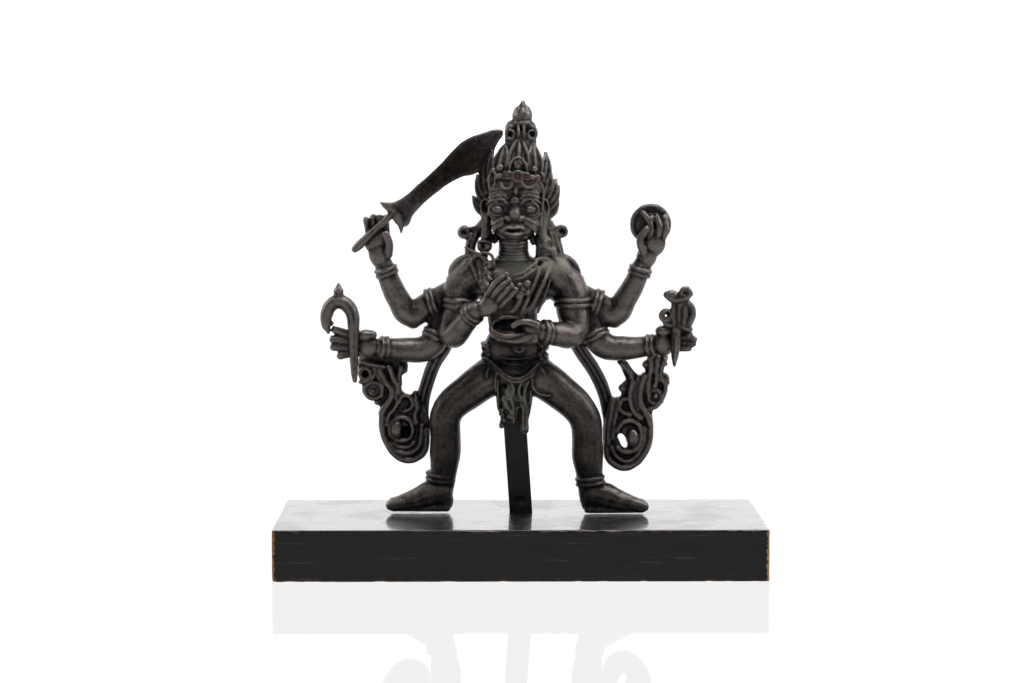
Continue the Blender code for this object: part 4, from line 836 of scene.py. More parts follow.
for points in ([(-4.4, -5.8, 57), (-2.6, -5.0, 53), (-3.6, -3.4, 48.6), (-2.2, -2.6, 44)],
               [(1.2, -5.6, 57), (-0.4, -4.6, 52.6), (0.8, -3.0, 48)],
               [(3.8, -5.2, 57), (2.0, -4.0, 51.6), (2.6, -2.6, 46)]):
    whole.rod(points, 0.6)
print("forms of the skin after the loincloth:", whole.forms())

# %% [markdown]
# Twin cords of a belt hang in a bow over the flap, and gathered cloth sits on both hips, with a
# few pleats behind. Waves and bumps keep the gathers from looking ruled.

# %% Belt and hip cloth
for drop, y, wire in ((0.0, -7.2, 0.7), (-1.7, -7.0, 0.7)):
    whole.rod([(-15.2, 0.2, 66.6 + drop), (-9.6, -5.2, 62.6 + drop), (-4.8, -6.9, 58.8 + drop),
               (-1.7, y, 58.0 + drop), (1.7, -6.9, 58.7 + drop), (6.2, -5.2, 62.4 + drop),
               (11.2, 0.2, 65.6 + drop)], wire)
for n in range(7):
    share = n / 6
    whole.ball((4.6 + 6.4 * share, -5.9 + 4.4 * share, 58.6 + 4.6 * share), (1.3, 1.0, 1.0), turn=-40)
for side in (-1, 1):
    for n in range(5):
        wave = 0.7 * math.sin(n * 2.1 + side)
        whole.rod([(-2 + side * (11.0 + wave), -2.6, 64.0 + 1.7 * n),
                   (-2 + side * (12.8 + wave), 2.4, 65.0 + 1.6 * n),
                   (-2 + side * (11.6 + wave), 8, 65.0 + 1.5 * n)], 0.9)
    for n in range(14):
        bump = Vector((-2 + side * (11.2 + 1.8 * noise.random()), -2.4 + 8 * noise.random(),
                       63.6 + 8.4 * noise.random()))
        whole.ball(tuple(bump), 0.9 + 0.6 * noise.random())
for points in ([(5.0, -5.6, 60.4), (5.1, -6.2, 56), (5.8, -6.6, 53), (8.2, -7.0, 51.2),
                (12.0, -7.0, 50.4)],
               [(-9.6, -5.6, 60.4), (-10.2, -6.2, 56), (-9.8, -6.0, 52)],
               [(-12.8, -4.6, 62), (-13.8, -5.4, 58)], [(8.6, -4.8, 62), (10.4, -5.6, 58.6)]):
    whole.rod(points, 0.5)
whole.rod([(-15, 7, 66), (-8, 11.4, 64), (-2, 12.2, 63.4), (4, 11.4, 64), (11, 7, 66)], 1.3)
whole.rod([(-15, 7, 63), (-8, 12, 61), (-2, 12.8, 60.4), (4, 12, 61), (11, 7, 63)], 0.9)
for x in (-9, -6.6, -4.4, 0.6, 2.8, 5.2):
    whole.rod([(x, 11.6, 62), (x * 0.9, 14.6, 55), (x * 0.86, 12.6, 49)], 0.7)
print("forms of the skin after the belt:", whole.forms())

# %% [markdown]
# A sash falls from the shoulder at the right in long pleats. A pleat is a thin rod that follows
# the body. The navel is two rings, and three faint folds cross the belly.

# %% Sash, navel and belly folds
whole.rod([(13.6, 1, 107.0), (9.8, -3.6, 102), (6.2, -5.0, 92), (3.4, -5.4, 84)], [2.2, 2.4, 2.0, 1.5],
          flat=0.5)
for start, middle, end, wire in (((6.8, -4.0, 105.2), (4.6, -5.6, 96), (1.2, -6.8, 87), 0.55),
                                 ((7.9, -4.8, 103.4), (6.5, -6.6, 97.8), (2.2, -7.6, 89.6), 0.85),
                                 ((13.0, -2.4, 105.2), (9.2, -6.8, 96.2), (3.2, -7.8, 84.8), 0.95),
                                 ((11.6, -2.8, 105.6), (7.8, -5.8, 97.0), (2.6, -7.0, 87.0), 0.5),
                                 ((13.6, -1.4, 104.4), (11.6, -4.6, 95.6), (7.4, -6.4, 85), 0.6)):
    whole.rod([start, middle, end], wire)
whole.rod([(6.7, -4.2, 105.4), (3.4, -5.8, 103.0), (0.6, -6.4, 101.2), (-2.6, -6.6, 100.2)], 0.62)
whole.rod([(7.2, -4.6, 103.4), (4.0, -6.0, 101.2), (1.2, -6.6, 99.4), (-1.8, -6.8, 98.4)], 0.62)
whole.rod([(6.4, -3.0, 106.2), (10, -2.4, 107.0), (13.2, -1.2, 106.0)], 1.0)
whole.ring((-0.2, -7.4, 70.2), (0, 1, 0.1), 1.9, 0.45)
whole.ring((-0.2, -7.6, 70.0), (0, 1, 0.1), 0.9, 0.35)
for z, reach in ((73.8, 8), (66.6, 9), (64.4, 7)):
    whole.rod([(-2.4 - reach, -2.8, z), (-2.4, -7.0, z - 0.8), (-2.4 + reach, -2.8, z)], 0.42)
print("forms of the skin after the sash:", whole.forms())

# %% [markdown]
# Ribbons tie the scarf at the left shoulder and hang behind the raised hand. They are thin rods,
# with a crumpled band and small knots under them.

# %% Ribbons at the left shoulder
for points in ([(-22.4, -0.8, 111.4), (-19.6, -2.8, 110.0), (-16.4, -4.2, 108.4), (-13.4, -4.8, 105.2),
                (-10.6, -5.0, 104.6)],
               [(-16.4, -4.0, 108.9), (-19.7, -4.0, 106.4), (-18.7, -5.0, 101.4), (-16.6, -6.6, 97),
                (-14.8, -9.0, 93.4)],
               [(-21.9, -1.4, 111.0), (-20.4, -3.0, 106.2), (-21.6, -3.4, 103.8), (-24.2, -2.8, 101.4)],
               [(-16.4, -3.8, 109.2), (-13.8, -4.2, 109.4), (-11.6, -4.6, 108.2),
                (-10.8, -5.0, 105.4)]):
    whole.rod(points, 0.7)
whole.rod([(-15.6, -3.0, 104.8), (-14.6, -5.2, 100), (-14.2, -8.2, 95.4)], [3.2, 2.8, 1.6], flat=0.7)
for n in range(9):
    speck = Vector((-16.4 + 4.2 * noise.random(), -5.2 - 0.3 * n, 104.6 - 1.0 * n))
    whole.ball(tuple(speck), 0.7 + 0.5 * noise.random())
print("forms of the skin after the ribbons:", whole.forms())

# %% [markdown]
# Twin bangles ring every wrist, ankle and upper arm. They are the same two rings each time, so a
# table of places and a loop make them all.

# %% Twin bangles
BANGLES = (((-33.0, 4.0, 15.4), (-0.1, 0.1, -1), 5.6, 1.05), ((29.3, -1.2, 14.4), (0.1, 0, -1), 5.5,
                                                              1.05),
           ((-55.2, 3.2, 101.4), (-0.3, -0.1, 1), 4.2, 1.0), ((49.9, 3.2, 101.4), (0.3, -0.1, 1), 4.2,
                                                              1.0),
           ((-56.2, 2.4, 69.6), (-1, -0.2, 0.05), 4.2, 1.0), ((54.4, 2.2, 70.4), (1, -0.2, 0.1), 4.1,
                                                              1.0),
           ((-19.6, -10, 84.8), (0.6, -0.6, 0.6), 4.3, 1.0), ((10.6, -11.4, 77.2), (-1, -0.5, 0.1), 4.5,
                                                              1.0),
           ((-36.6, 7, 88.0), (-1, 0, -0.35), 5.6, 1.0), ((32, 7, 87.6), (1, 0, -0.35), 5.6, 1.0),
           ((-34.6, 5.8, 74.2), (-0.5, -0.1, -1), 5.5, 1.0), ((31.4, 5.8, 74.6), (0.5, -0.1, -1), 5.5,
                                                              1.0),
           ((-25.2, 2.6, 88.4), (0, 0, 1), 6.4, 1.1), ((21.8, 1.6, 88.6), (0, 0, 1), 7.1, 1.1))
for centre, axis, radius, gap in BANGLES:
    along = Vector(axis).normalized() * gap
    for sign in (-1, 1):
        whole.ring(tuple(Vector(centre) + along * sign), axis, radius, 0.85)
print("bangles:", 2 * len(BANGLES))

# %% [markdown]
# Both lumps are melted now. A voxel of 0.42 mm keeps every fold that can be seen. The flesh goes
# first, with a coarser voxel and more smoothing, and its skin is one more form of the whole.

# %% Melt both lumps
FLESH_VOXEL = 0.7 * MM
SKIN_VOXEL = 0.42 * MM
whole.solids.append(flesh.melt(FLESH_VOXEL, 6))
skin = whole.melt(SKIN_VOXEL, 1)
print("melted skin:", len(skin.polygons), "faces")

# %% [markdown]
# Dents press in what wax can't add: nostrils, the open mouth, the cups of ears and earrings, and
# the eyes of the volutes. A dent moves the mesh's points one way, most at its middle and not at
# all at its rim, as a modelling tool would. Reading and writing all points at once keeps it fast.

# %% Press the dents
def mesh_points(mesh):
    """All points of a mesh as rows of x, y, z."""
    flat = np.empty(len(mesh.vertices) * 3, dtype=np.float32)
    mesh.vertices.foreach_get("co", flat)
    return flat.reshape(-1, 3).astype(np.float64)


def mesh_normals(mesh):
    """The direction that each point of a mesh faces."""
    flat = np.empty(len(mesh.vertices) * 3, dtype=np.float32)
    mesh.vertices.foreach_get("normal", flat)
    return flat.reshape(-1, 3).astype(np.float64)


def set_points(mesh, points):
    """Writes rows of x, y, z back."""
    mesh.vertices.foreach_set("co", points.astype(np.float32).ravel())
    mesh.update()


def nearness(points, centre, radii):
    """1 at a centre, falling softly to 0 at the radii, in figure millimetres."""
    size = np.array(radii if isinstance(radii, tuple) else (radii, radii, radii)) * UNIT
    away = ((points - np.array(at(*centre))) / size) ** 2
    return np.clip(1.0 - away.sum(axis=1), 0.0, 1.0) ** 1.5


DENTS = (((FACE_X - 1.3, -11.0, 122.8), (1.0, 2.6, 0.8), (0, 1.2, 0.8)),
         ((FACE_X + 1.3, -11.0, 122.8), (1.0, 2.6, 0.8), (0, 1.2, 0.8)),
         ((FACE_X - 0.2, -10.2, 118.9), (4.4, 3.0, 0.7), (0, 1.6, 0)),
         ((-15.4, -3.2, 111.6), (1.8, 2.4, 1.8), (0, 1.6, 0)),
         ((12.8, -4.6, 112.6), (2.4, 3.6, 2.4), (0, 3.2, 0)),
         ((-14.2, -2.0, 127.6), (1.2, 2.6, 2.6), (0, 1.4, 0)),
         ((10.6, -2.4, 127.6), (1.0, 2.6, 2.6), (0, 1.4, 0)),
         ((60.9, -5.4, 84), (1.4, 2.4, 1.4), (0, 1.6, 0)),
         ((-12.6, -5.6, 106.8), (1.4, 2.4, 1.4), (0, 1.4, 0)),
         ((-3.9, -3.8, 158.2), (1.3, 2.6, 1.7), (0, 2.4, 0)),
         ((4.9, -3.8, 158.2), (1.3, 2.6, 1.7), (0, 2.4, 0)),
         ((-23.0, 3.4, 117.4), (1.2, 2.2, 1.2), (0, 1.2, 0)),
         ((17.2, 3.4, 117.8), (1.2, 2.0, 1.2), (0, 1.0, 0)),
         ((-47.6, 6.0, 33.8), (2.6, 3.0, 3.2), (0, 2.6, 0)),
         ((-64.3, 6.0, 58.3), (1.4, 2.6, 1.3), (0, 1.6, 0)))
points = mesh_points(skin)
for centre, radii, push in DENTS:
    points += nearness(points, centre, radii)[:, None] * np.array(push) * UNIT
set_points(skin, points)
print("dents:", len(DENTS))

# %% [markdown]
# Grooves are engraved along lines against the surface: between the toes, down the spine, and down
# the middle of the flap.

# %% Engrave the grooves
def engrave(mesh, lines, width, depth):
    """Cuts soft grooves of a width and depth along lines, in figure millimetres, against the surface."""
    spots = mesh_points(mesh)
    facing = mesh_normals(mesh)
    sunk = np.zeros(len(spots))
    reach = width * UNIT
    for line in lines:
        ends = np.array([at(*p) for p in line])
        low, high = ends.min(axis=0) - reach, ends.max(axis=0) + reach
        here = np.nonzero(np.all((spots > low) & (spots < high), axis=1))[0]
        for a, b in zip(ends[:-1], ends[1:]):
            along = b - a
            share = np.clip(((spots[here] - a) @ along) / (along @ along), 0.0, 1.0)
            away = np.linalg.norm(spots[here] - (a + share[:, None] * along), axis=1) / reach
            sunk[here] = np.maximum(sunk[here], np.clip(1.0 - away * away, 0.0, 1.0))
    spots -= facing * (sunk * depth * UNIT)[:, None]
    set_points(mesh, spots)


toe_lines = []
for heel, way, y, sole in (LEFT_FOOT, RIGHT_FOOT):
    for toe in range(TOES - 1):
        across = y - 2.2 + toe * TOE_PITCH
        toe_lines.append([(heel + way * 20, across, sole + 6.6), (heel + way * 24, across, sole + 5.0),
                          (heel + way * 27.4, across, sole + 2.6)])
engrave(skin, toe_lines, 1.3, 0.7)
engrave(skin, [[(-2, 13.6, 104), (-2, 13.6, 96), (-2.6, 11.4, 84), (-2.4, 11.6, 72)]], 3.0, 1.2)
engrave(skin, [[(-0.9, -3.0, 47.0), (-0.7, -2.6, 43), (-0.5, -2.6, 36)]], 1.3, 1.6)
print("grooves between toes:", len(toe_lines))

# %% [markdown]
# The soles are filed level, and the back of the flap is cleared for the post. Both are plain
# limits on the points: nothing may go below the sole's height, and nothing may stay in the
# post's way.

# %% File the soles, clear the post
POST_GAP = 0.3 * MM
FLAP_TOP = 50
FLAP_REACH = 12
points = mesh_points(skin)
sole = np.where(points[:, 0] < 0, LEFT_FOOT[-1], RIGHT_FOOT[-1]) * UNIT + BLOCK_TOP
points[:, 2] = np.maximum(points[:, 2], sole)
post_front = POST_LOW[1] - POST_GAP
low_flap = (points[:, 2] < at(0, 0, FLAP_TOP)[2]) & (np.abs(points[:, 0]) < FLAP_REACH * UNIT)
points[:, 1] = np.where(low_flap, np.minimum(points[:, 1], post_front), points[:, 1])
set_points(skin, points)
print("points of the flap:", int(low_flap.sum()))

# %% [markdown]
# Casting leaves a skin that is never quite smooth: a slow waviness from the wax, and a finer
# sandy grain from the mould. Both are small moves along the surface's own direction, read from
# noise whose cells are given in real millimetres.

# %% Casting skin
WAVE_CELL = 3.2 * MM
WAVE_HEIGHT = 0.09 * MM
GRAIN_CELL = 0.9 * MM
GRAIN_HEIGHT = 0.08 * MM
points = mesh_points(skin)
facing = mesh_normals(skin)
waves = np.array([noise.noise(Vector(p) / WAVE_CELL) for p in points])
grains = np.array([noise.noise(Vector(p) / GRAIN_CELL) for p in points])
lift = WAVE_HEIGHT * waves + GRAIN_HEIGHT * grains
set_points(skin, points + facing * lift[:, None])
print(f"the skin moves by up to {np.abs(lift).max() / MM:.2f} mm")

# %% [markdown]
# The melted skin has more faces than its shape needs. Decimate takes out points where the surface
# is nearly flat, so the carving stays. Crumbs and inner skins that the melt left loose are dropped.

# %% Thin the skin and drop loose shells
TRIANGLE_LIMIT = 190000
figure = linked("cast_bronze_deity", skin)
skin.calc_loop_triangles()
thin = figure.modifiers.new("thin", "DECIMATE")
thin.ratio = min(1.0, TRIANGLE_LIMIT / len(skin.loop_triangles))
thinned = evaluated_mesh(figure)
figure.modifiers.clear()
figure.data = thinned


def keep_largest_shell(mesh):
    """Drops loose crumbs and inner skins: everything that isn't joined to the largest shell."""
    pairs = np.empty(len(mesh.edges) * 2, dtype=np.int32)
    mesh.edges.foreach_get("vertices", pairs)
    pairs = pairs.reshape(-1, 2)
    label = np.arange(len(mesh.vertices))
    while True:
        lowest = np.minimum(label[pairs[:, 0]], label[pairs[:, 1]])
        spread = label.copy()
        np.minimum.at(spread, pairs[:, 0], lowest)
        np.minimum.at(spread, pairs[:, 1], lowest)
        spread = spread[spread]
        if np.array_equal(spread, label):
            break
        label = spread
    names, counts = np.unique(label, return_counts=True)
    main = names[counts.argmax()]
    shell = bmesh.new()
    shell.from_mesh(mesh)
    shell.verts.ensure_lookup_table()
    loose = [shell.verts[int(n)] for n in np.nonzero(label != main)[0]]
    bmesh.ops.delete(shell, geom=loose, context="VERTS")
    shell.to_mesh(mesh)
    shell.free()
    return len(names) - 1


print("loose shells dropped:", keep_largest_shell(figure.data))
figure.data.polygons.foreach_set("use_smooth", np.ones(len(figure.data.polygons), dtype=bool))
print("figure:", len(figure.data.polygons), "faces")
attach(figure, "root")
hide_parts("bronze_figure")

# %% [markdown]
# Colours are written as they look on screen, as hex values, and turned to the linear numbers that
# the renderer works with. One small helper adds a node, sets it and links it.

# %% Colour and node helpers
def linear(hex_value):
    """Linear red, green, blue and alpha of an sRGB hex colour."""
    parts = [int(hex_value[n:n + 2], 16) / 255 for n in (1, 3, 5)]
    return (*[c / 12.92 if c <= 0.04045 else ((c + 0.055) / 1.055) ** 2.4 for c in parts], 1.0)


def add(tree, kind, settings=None, **inputs):
    """Adds a node, sets its properties, and sets or links its inputs by name or number."""
    node = tree.nodes.new(kind)
    for key, value in (settings or {}).items():
        setattr(node, key, value)
    for key, value in inputs.items():
        numbered = key[0] == "i" and key[1:].isdigit()
        socket = node.inputs[int(key[1:]) if numbered else key.replace("_", " ")]
        if isinstance(value, bpy.types.NodeSocket):
            tree.links.new(value, socket)
        else:
            socket.default_value = value
    return node


def new_material(name):
    """An empty material with its output and a Principled shader."""
    made = bpy.data.materials.new(name)
    made.use_nodes = True
    return made, made.node_tree, made.node_tree.nodes["Principled BSDF"]


print("a mid grey in linear light:", round(linear("#808080")[0], 3))

# %% [markdown]
# Colour on old bronze follows its shape: the hollows are painted darker as shade, raised edges are
# rubbed to the metal, and hands have warmed the thighs, forearms and blade. These zones are measured on
# the mesh and kept as attributes that the material reads, so they stay in place in every view.

# %% Hollows for the painted shade, edges and zones of wear
def curvature(mesh, rounds):
    """How far each point stands out of its neighbours, in metres, averaged over some rounds."""
    pairs = np.empty(len(mesh.edges) * 2, dtype=np.int32)
    mesh.edges.foreach_get("vertices", pairs)
    pairs = pairs.reshape(-1, 2)
    spots = mesh_points(mesh)
    smooth = spots.copy()
    count = np.bincount(pairs.ravel(), minlength=len(spots)).astype(float)[:, None]
    for _ in range(rounds):
        total = np.zeros_like(smooth)
        np.add.at(total, pairs[:, 0], smooth[pairs[:, 1]])
        np.add.at(total, pairs[:, 1], smooth[pairs[:, 0]])
        smooth = total / np.maximum(count, 1)
    return ((spots - smooth) * mesh_normals(mesh)).sum(axis=1)


def store(mesh, name, values):
    """Keeps one number a point as a named attribute."""
    layer = mesh.attributes.new(name, "FLOAT", "POINT")
    layer.data.foreach_set("value", values.astype(np.float32))


FINE_RELIEF = 0.10 * MM
BROAD_RELIEF = 0.5 * MM
fine = curvature(figure.data, 2) / FINE_RELIEF
broad = curvature(figure.data, 8) / BROAD_RELIEF
points = mesh_points(figure.data)
store(figure.data, "edge", np.clip(fine, 0, 1) * 0.7 + np.clip(broad, 0, 1) * 0.2)
# how deep each point lies in a hollow, where shade is painted into the colour
store(figure.data, "painted_shade_in_hollows", np.clip(-fine, 0, 1) * 0.5 + np.clip(-broad, 0, 1) * 0.5)
RUBBED = (((-30, 0, 146), (26, 8, 18)), ((-22, 0, 50), (16, 14, 12)), ((20, -4, 50), (16, 14, 12)),
          ((-52, 4, 92), (10, 10, 14)), ((46, 4, 92), (10, 10, 14)), ((-22, -8, 80), (10, 10, 10)),
          ((14, -10, 76), (12, 10, 8)), ((-30, 2, 30), (9, 12, 16)), ((28, 0, 30), (9, 12, 16)))
DUSTY = (((-1, -6, 104), (12, 7, 7)), ((12, 1, 114), (6, 8, 9)), ((-24, 4, 100), (9, 8, 8)),
         ((14, -2, 104), (7, 6, 6)),
         ((9, 2, 122), (5, 8, 8)), ((-2, -6, 47), (8, 5, 12)))
COPPER = (((-1.2, -10, 141), (2.6, 4, 2.6)), ((FACE_X, -11.5, 123), (3, 3, 1.6)),
          ((-9.5, -15, 76.5), (4, 5, 2.4)),
          ((-7.8, -8, 140), (2, 3, 4)), ((7.6, -8, 139), (2.4, 3, 3)), ((73, -2, 71), (2.4, 3, 3)))
BROWN_BLACK = (((-26, 0, 30), (22, 20, 40)), ((24, 0, 30), (22, 20, 40)), ((-30, 0, 144), (30, 8, 22)),
               ((-2, 0, 66), (18, 16, 12)))
for name, zones in (("rubbed", RUBBED), ("dusty", DUSTY), ("copper", COPPER), ("brown", BROWN_BLACK)):
    amount = np.zeros(len(points))
    for centre, radii in zones:
        amount = np.maximum(amount, nearness(points, centre, radii) ** 0.6)
    store(figure.data, name, amount)
    print(f"{name}: {np.mean(amount > 0.5):.0%} of the points")

# %% [markdown]
# The material is cast bronze with an old brown-black patina. The patina is thin, so the shader is
# nearly all metal and keeps the default IOR; only dust is not metal and takes the shine away. A
# roughness of 0.27 to 0.42 gives the soft, broad highlights of a surface polished by hands.
# Colour clouds are 4 mm wide, specks 0.7 mm and grit 0.28 mm. Each row of the table lays one colour
# over the last: where it may lie, the field that breaks it up, and how that field is stretched.

# %% Patinated bronze
bronze, tree, shader = new_material("patinated_bronze")
where = add(tree, "ShaderNodeTexCoord").outputs["Object"]
MOTTLE = 1 / (4.0 * MM)
SPECK = 1 / (0.7 * MM)
GRIT = 1 / (0.28 * MM)
mottle = add(tree, "ShaderNodeTexNoise", Vector=where, Scale=MOTTLE, Detail=5.0,
             Roughness=0.6).outputs["Fac"]
speck = add(tree, "ShaderNodeTexNoise", Vector=where, Scale=SPECK, Detail=4.0,
            Roughness=0.6).outputs["Fac"]
grit = add(tree, "ShaderNodeTexNoise", Vector=where, Scale=GRIT, Detail=3.0,
           Roughness=0.6).outputs["Fac"]
zone = {name: add(tree, "ShaderNodeAttribute", {"attribute_name": name}).outputs["Fac"]
        for name in ("edge", "painted_shade_in_hollows", "rubbed", "dusty", "copper", "brown")}

thickness = add(tree, "ShaderNodeMapRange", Value=mottle, From_Min=0.35, From_Max=0.65).outputs[0]
coat = add(tree, "ShaderNodeMix", {"data_type": "RGBA"}, Factor=thickness, i6=linear("#2f2c2d"),
           i7=linear("#3f3b3b")).outputs[2]
TINTS = (("#4e4845", None, speck, (0.5, 0.75, 0.0, 0.5)),
         ("#0f0d0c", "brown", speck, (0.2, 0.5, 0.7, 1.0)),
         ("#32251f", "rubbed", mottle, (0.45, 0.65, 0.0, 0.5)),
         ("#7d7671", "edge", zone["brown"], (0.0, 1.0, 0.6, 0.12)),
         # painted shade: the hollows are darkened in the colour
         ("#100f0f", None, zone["painted_shade_in_hollows"], (0.0, 1.0, 0.0, 0.9)),
         ("#706f63", "dusty", speck, (0.3, 0.62, 0.4, 1.0)),
         ("#50362c", "copper", speck, (0.35, 0.55, 0.0, 1.0)))
for colour, place, field, (low, high, least, most) in TINTS:
    amount = add(tree, "ShaderNodeMapRange", Value=field, From_Min=low, From_Max=high, To_Min=least,
                 To_Max=most).outputs[0]
    if place:
        amount = add(tree, "ShaderNodeMath", {"operation": "MULTIPLY"}, i0=zone[place],
                     i1=amount).outputs[0]
    coat = add(tree, "ShaderNodeMix", {"data_type": "RGBA"}, Factor=amount, i6=coat,
               i7=linear(colour)).outputs[2]
tree.links.new(coat, shader.inputs["Base Color"])
shine = add(tree, "ShaderNodeMapRange", Value=zone["dusty"], To_Min=0.92, To_Max=0.37).outputs[0]
tree.links.new(shine, shader.inputs["Metallic"])
satin = add(tree, "ShaderNodeMapRange", Value=speck, From_Min=0.3, From_Max=0.7, To_Min=0.27,
            To_Max=0.42).outputs[0]
rough = add(tree, "ShaderNodeMath", {"operation": "MULTIPLY_ADD"}, i0=zone["dusty"], i1=0.3,
            i2=satin).outputs[0]
tree.links.new(rough, shader.inputs["Roughness"])
relief = add(tree, "ShaderNodeMath", {"operation": "MULTIPLY_ADD"}, i0=grit, i1=0.6,
             i2=speck).outputs[0]
bump = add(tree, "ShaderNodeBump", Height=relief, Strength=0.8, Distance=0.16 * MM)
tree.links.new(bump.outputs["Normal"], shader.inputs["Normal"])
figure.data.materials.clear()
figure.data.materials.append(bronze)
print("nodes of the bronze:", len(tree.nodes))

# %% [markdown]
# The block and the post are squared bars with handled edges. A bar is a box whose skin is ruled
# finely near its edges and coarsely between them, so that only the edges cost many faces.

# %% Skin of a squared bar
def ruled(half, fine, coarse, rim):
    """Cuts from -half to half: close together near both ends, wider between."""
    near = np.arange(0, rim, fine)
    between = np.linspace(-half + rim, half - rim, max(2, int((half - rim) * 2 / coarse)))
    return np.concatenate([-half + near, between, (half - near)[::-1]])


def bar_skin(name, half, fine, coarse, rim):
    """The closed skin of a box about the origin, ruled along all three ways."""
    points = []
    faces = []
    lines = [ruled(h, fine, coarse, min(rim, h * 0.8)) for h in half]
    for axis in range(3):
        u, v = (axis + 1) % 3, (axis + 2) % 3
        for side in (-1, 1):
            first = len(points)
            for a in lines[u]:
                for b in lines[v]:
                    spot = [0.0, 0.0, 0.0]
                    spot[axis], spot[u], spot[v] = side * half[axis], a, b
                    points.append(spot)
            wide = len(lines[v])
            for i in range(len(lines[u]) - 1):
                for j in range(wide - 1):
                    corner = first + i * wide + j
                    ring = [corner, corner + wide, corner + wide + 1, corner + 1]
                    faces.append(ring if side > 0 else ring[::-1])
    mesh = bpy.data.meshes.new(name)
    mesh.from_pydata(points, [], faces)
    shape = bmesh.new()
    shape.from_mesh(mesh)
    bmesh.ops.remove_doubles(shape, verts=shape.verts, dist=0.01 * MM)
    shape.to_mesh(mesh)
    shape.free()
    return mesh


print("rules along a 10 mm side:", len(ruled(5 * MM, 0.3 * MM, 0.9 * MM, 1.2 * MM)))

# %% [markdown]
# Each point near an edge is pulled onto a small round, and noise makes that round larger here and
# there, which reads as knocks and chips. The same function serves both bars, with its own sizes.

# %% Worn edges, and a bar put in its place
def wear(mesh, half, ease, chip, cell, seed):
    """Rounds the edges by ease, and by up to chip more where noise of that cell size bites.

    Returns how much it bites at each point, and which points lie on an edge's round.
    """
    spots = mesh_points(mesh)
    rough = np.array([noise.fractal(Vector(p) / cell + seed, 1.0, 2.0, 3) for p in spots])
    bite = np.maximum(rough - 0.12, 0.0)
    radius = (ease + chip * np.clip(bite * 3.0, 0, 1))[:, None]
    inner = np.clip(spots, -np.array(half) + radius, np.array(half) - radius)
    out = spots - inner
    length = np.linalg.norm(out, axis=1, keepdims=True)
    edge = (np.abs(out) > 1e-7).sum(axis=1) > 1
    rounded = inner + out / np.maximum(length, 1e-9) * radius
    set_points(mesh, np.where(edge[:, None], rounded, spots))
    return bite, edge


def dress(name, mesh, place, paint, node):
    """Puts a bar in its place, painted, as the visual of a CAD node."""
    made = linked(name, mesh)
    made.matrix_world = place
    mesh.polygons.foreach_set("use_smooth", np.ones(len(mesh.polygons), dtype=bool))
    mesh.materials.append(paint)
    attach(made, "root")
    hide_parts(node)


# %% [markdown]
# The post's metal is blackened steel, filed by hand: near black and semi-matt, with half a
# millimetre between its long file marks. A thin oxide over steel is less of a mirror than bare
# metal, so its metallic value is 0.6, and the file marks set its roughness from 0.3 to 0.62.

# %% Blackened steel
FILE_MARK = 0.5 * MM
OXIDE_CLOUD = 5 * MM
post_black, tree, shader = new_material("blackened_steel")
where = add(tree, "ShaderNodeTexCoord").outputs["Object"]
stretch = add(tree, "ShaderNodeMapping", Vector=where, Scale=(1.0, 1.0, 0.1)).outputs[0]
filing = add(tree, "ShaderNodeTexNoise", Vector=stretch, Scale=1 / FILE_MARK, Detail=4.0).outputs["Fac"]
cloud = add(tree, "ShaderNodeTexNoise", Vector=where, Scale=1 / OXIDE_CLOUD, Detail=4.0).outputs["Fac"]
shade = add(tree, "ShaderNodeMix", {"data_type": "RGBA"}, Factor=cloud, i6=linear("#171516"),
            i7=linear("#272425")).outputs[2]
tree.links.new(shade, shader.inputs["Base Color"])
rough = add(tree, "ShaderNodeMapRange", Value=filing, To_Min=0.3, To_Max=0.62).outputs[0]
tree.links.new(rough, shader.inputs["Roughness"])
shader.inputs["Metallic"].default_value = 0.6
bump = add(tree, "ShaderNodeBump", Height=filing, Strength=0.5, Distance=0.12 * MM)
tree.links.new(bump.outputs["Normal"], shader.inputs["Normal"])

print("nodes of the steel:", len(tree.nodes))

# %% [markdown]
# The post is a straight squared bar that leans a little to the left as it rises. A hole of about 2
# millimetres is drilled near its foot, pressed into the front of the skin.

# %% Support post
POST_LEAN = math.radians(3.9)
POST_WIDTH = 9.5 * MM
POST_RISE = POST_HIGH[2] - POST_LOW[2] - POST_WIDTH * math.sin(POST_LEAN)
POST_HALF = (POST_WIDTH / 2, (POST_HIGH[1] - POST_LOW[1]) / 2, POST_RISE / 2 / math.cos(POST_LEAN))
post_mesh = bar_skin("post", POST_HALF, 0.3 * MM, 0.9 * MM, 1.2 * MM)
wear(post_mesh, POST_HALF, 0.35 * MM, 0.5 * MM, 3.0 * MM, Vector((3, 1, 7)))
spots = mesh_points(post_mesh)
FILED_WAVE = 7 * MM
FILED_DEPTH = 0.18 * MM
hollow_way = np.array([noise.noise(Vector(p) / FILED_WAVE) for p in spots])
spots[:, 1] += np.where(spots[:, 1] < 0, FILED_DEPTH * hollow_way, 0.0)
HOLE_ABOVE_BLOCK = 5.2 * MM
HOLE_RADIUS = 1.1 * MM
HOLE_DEPTH = 1.6 * MM
hole_z = BLOCK_TOP + HOLE_ABOVE_BLOCK - (POST_LOW[2] + POST_HIGH[2]) / 2
from_hole = np.hypot(spots[:, 0], spots[:, 2] - hole_z) / HOLE_RADIUS
spots[:, 1] += np.where(spots[:, 1] < 0, HOLE_DEPTH * np.clip(1.3 - from_hole, 0, 1) ** 0.5, 0.0)
set_points(post_mesh, spots)
post_middle = [(POST_LOW[n] + POST_HIGH[n]) / 2 for n in range(3)]
post_place = Matrix.Translation(post_middle) @ Matrix.Rotation(-POST_LEAN, 4, "Y")
dress("blackened_post", post_mesh, post_place, post_black, "support_post")
print("post:", len(post_mesh.polygons), "faces")

# %% [markdown]
# The block is a squared bar with a small round on its edges. At the ends and along the lower edge
# its lacquer is knocked off. How near a point lies to those places is kept as an attribute, so
# that the finish can tear there.

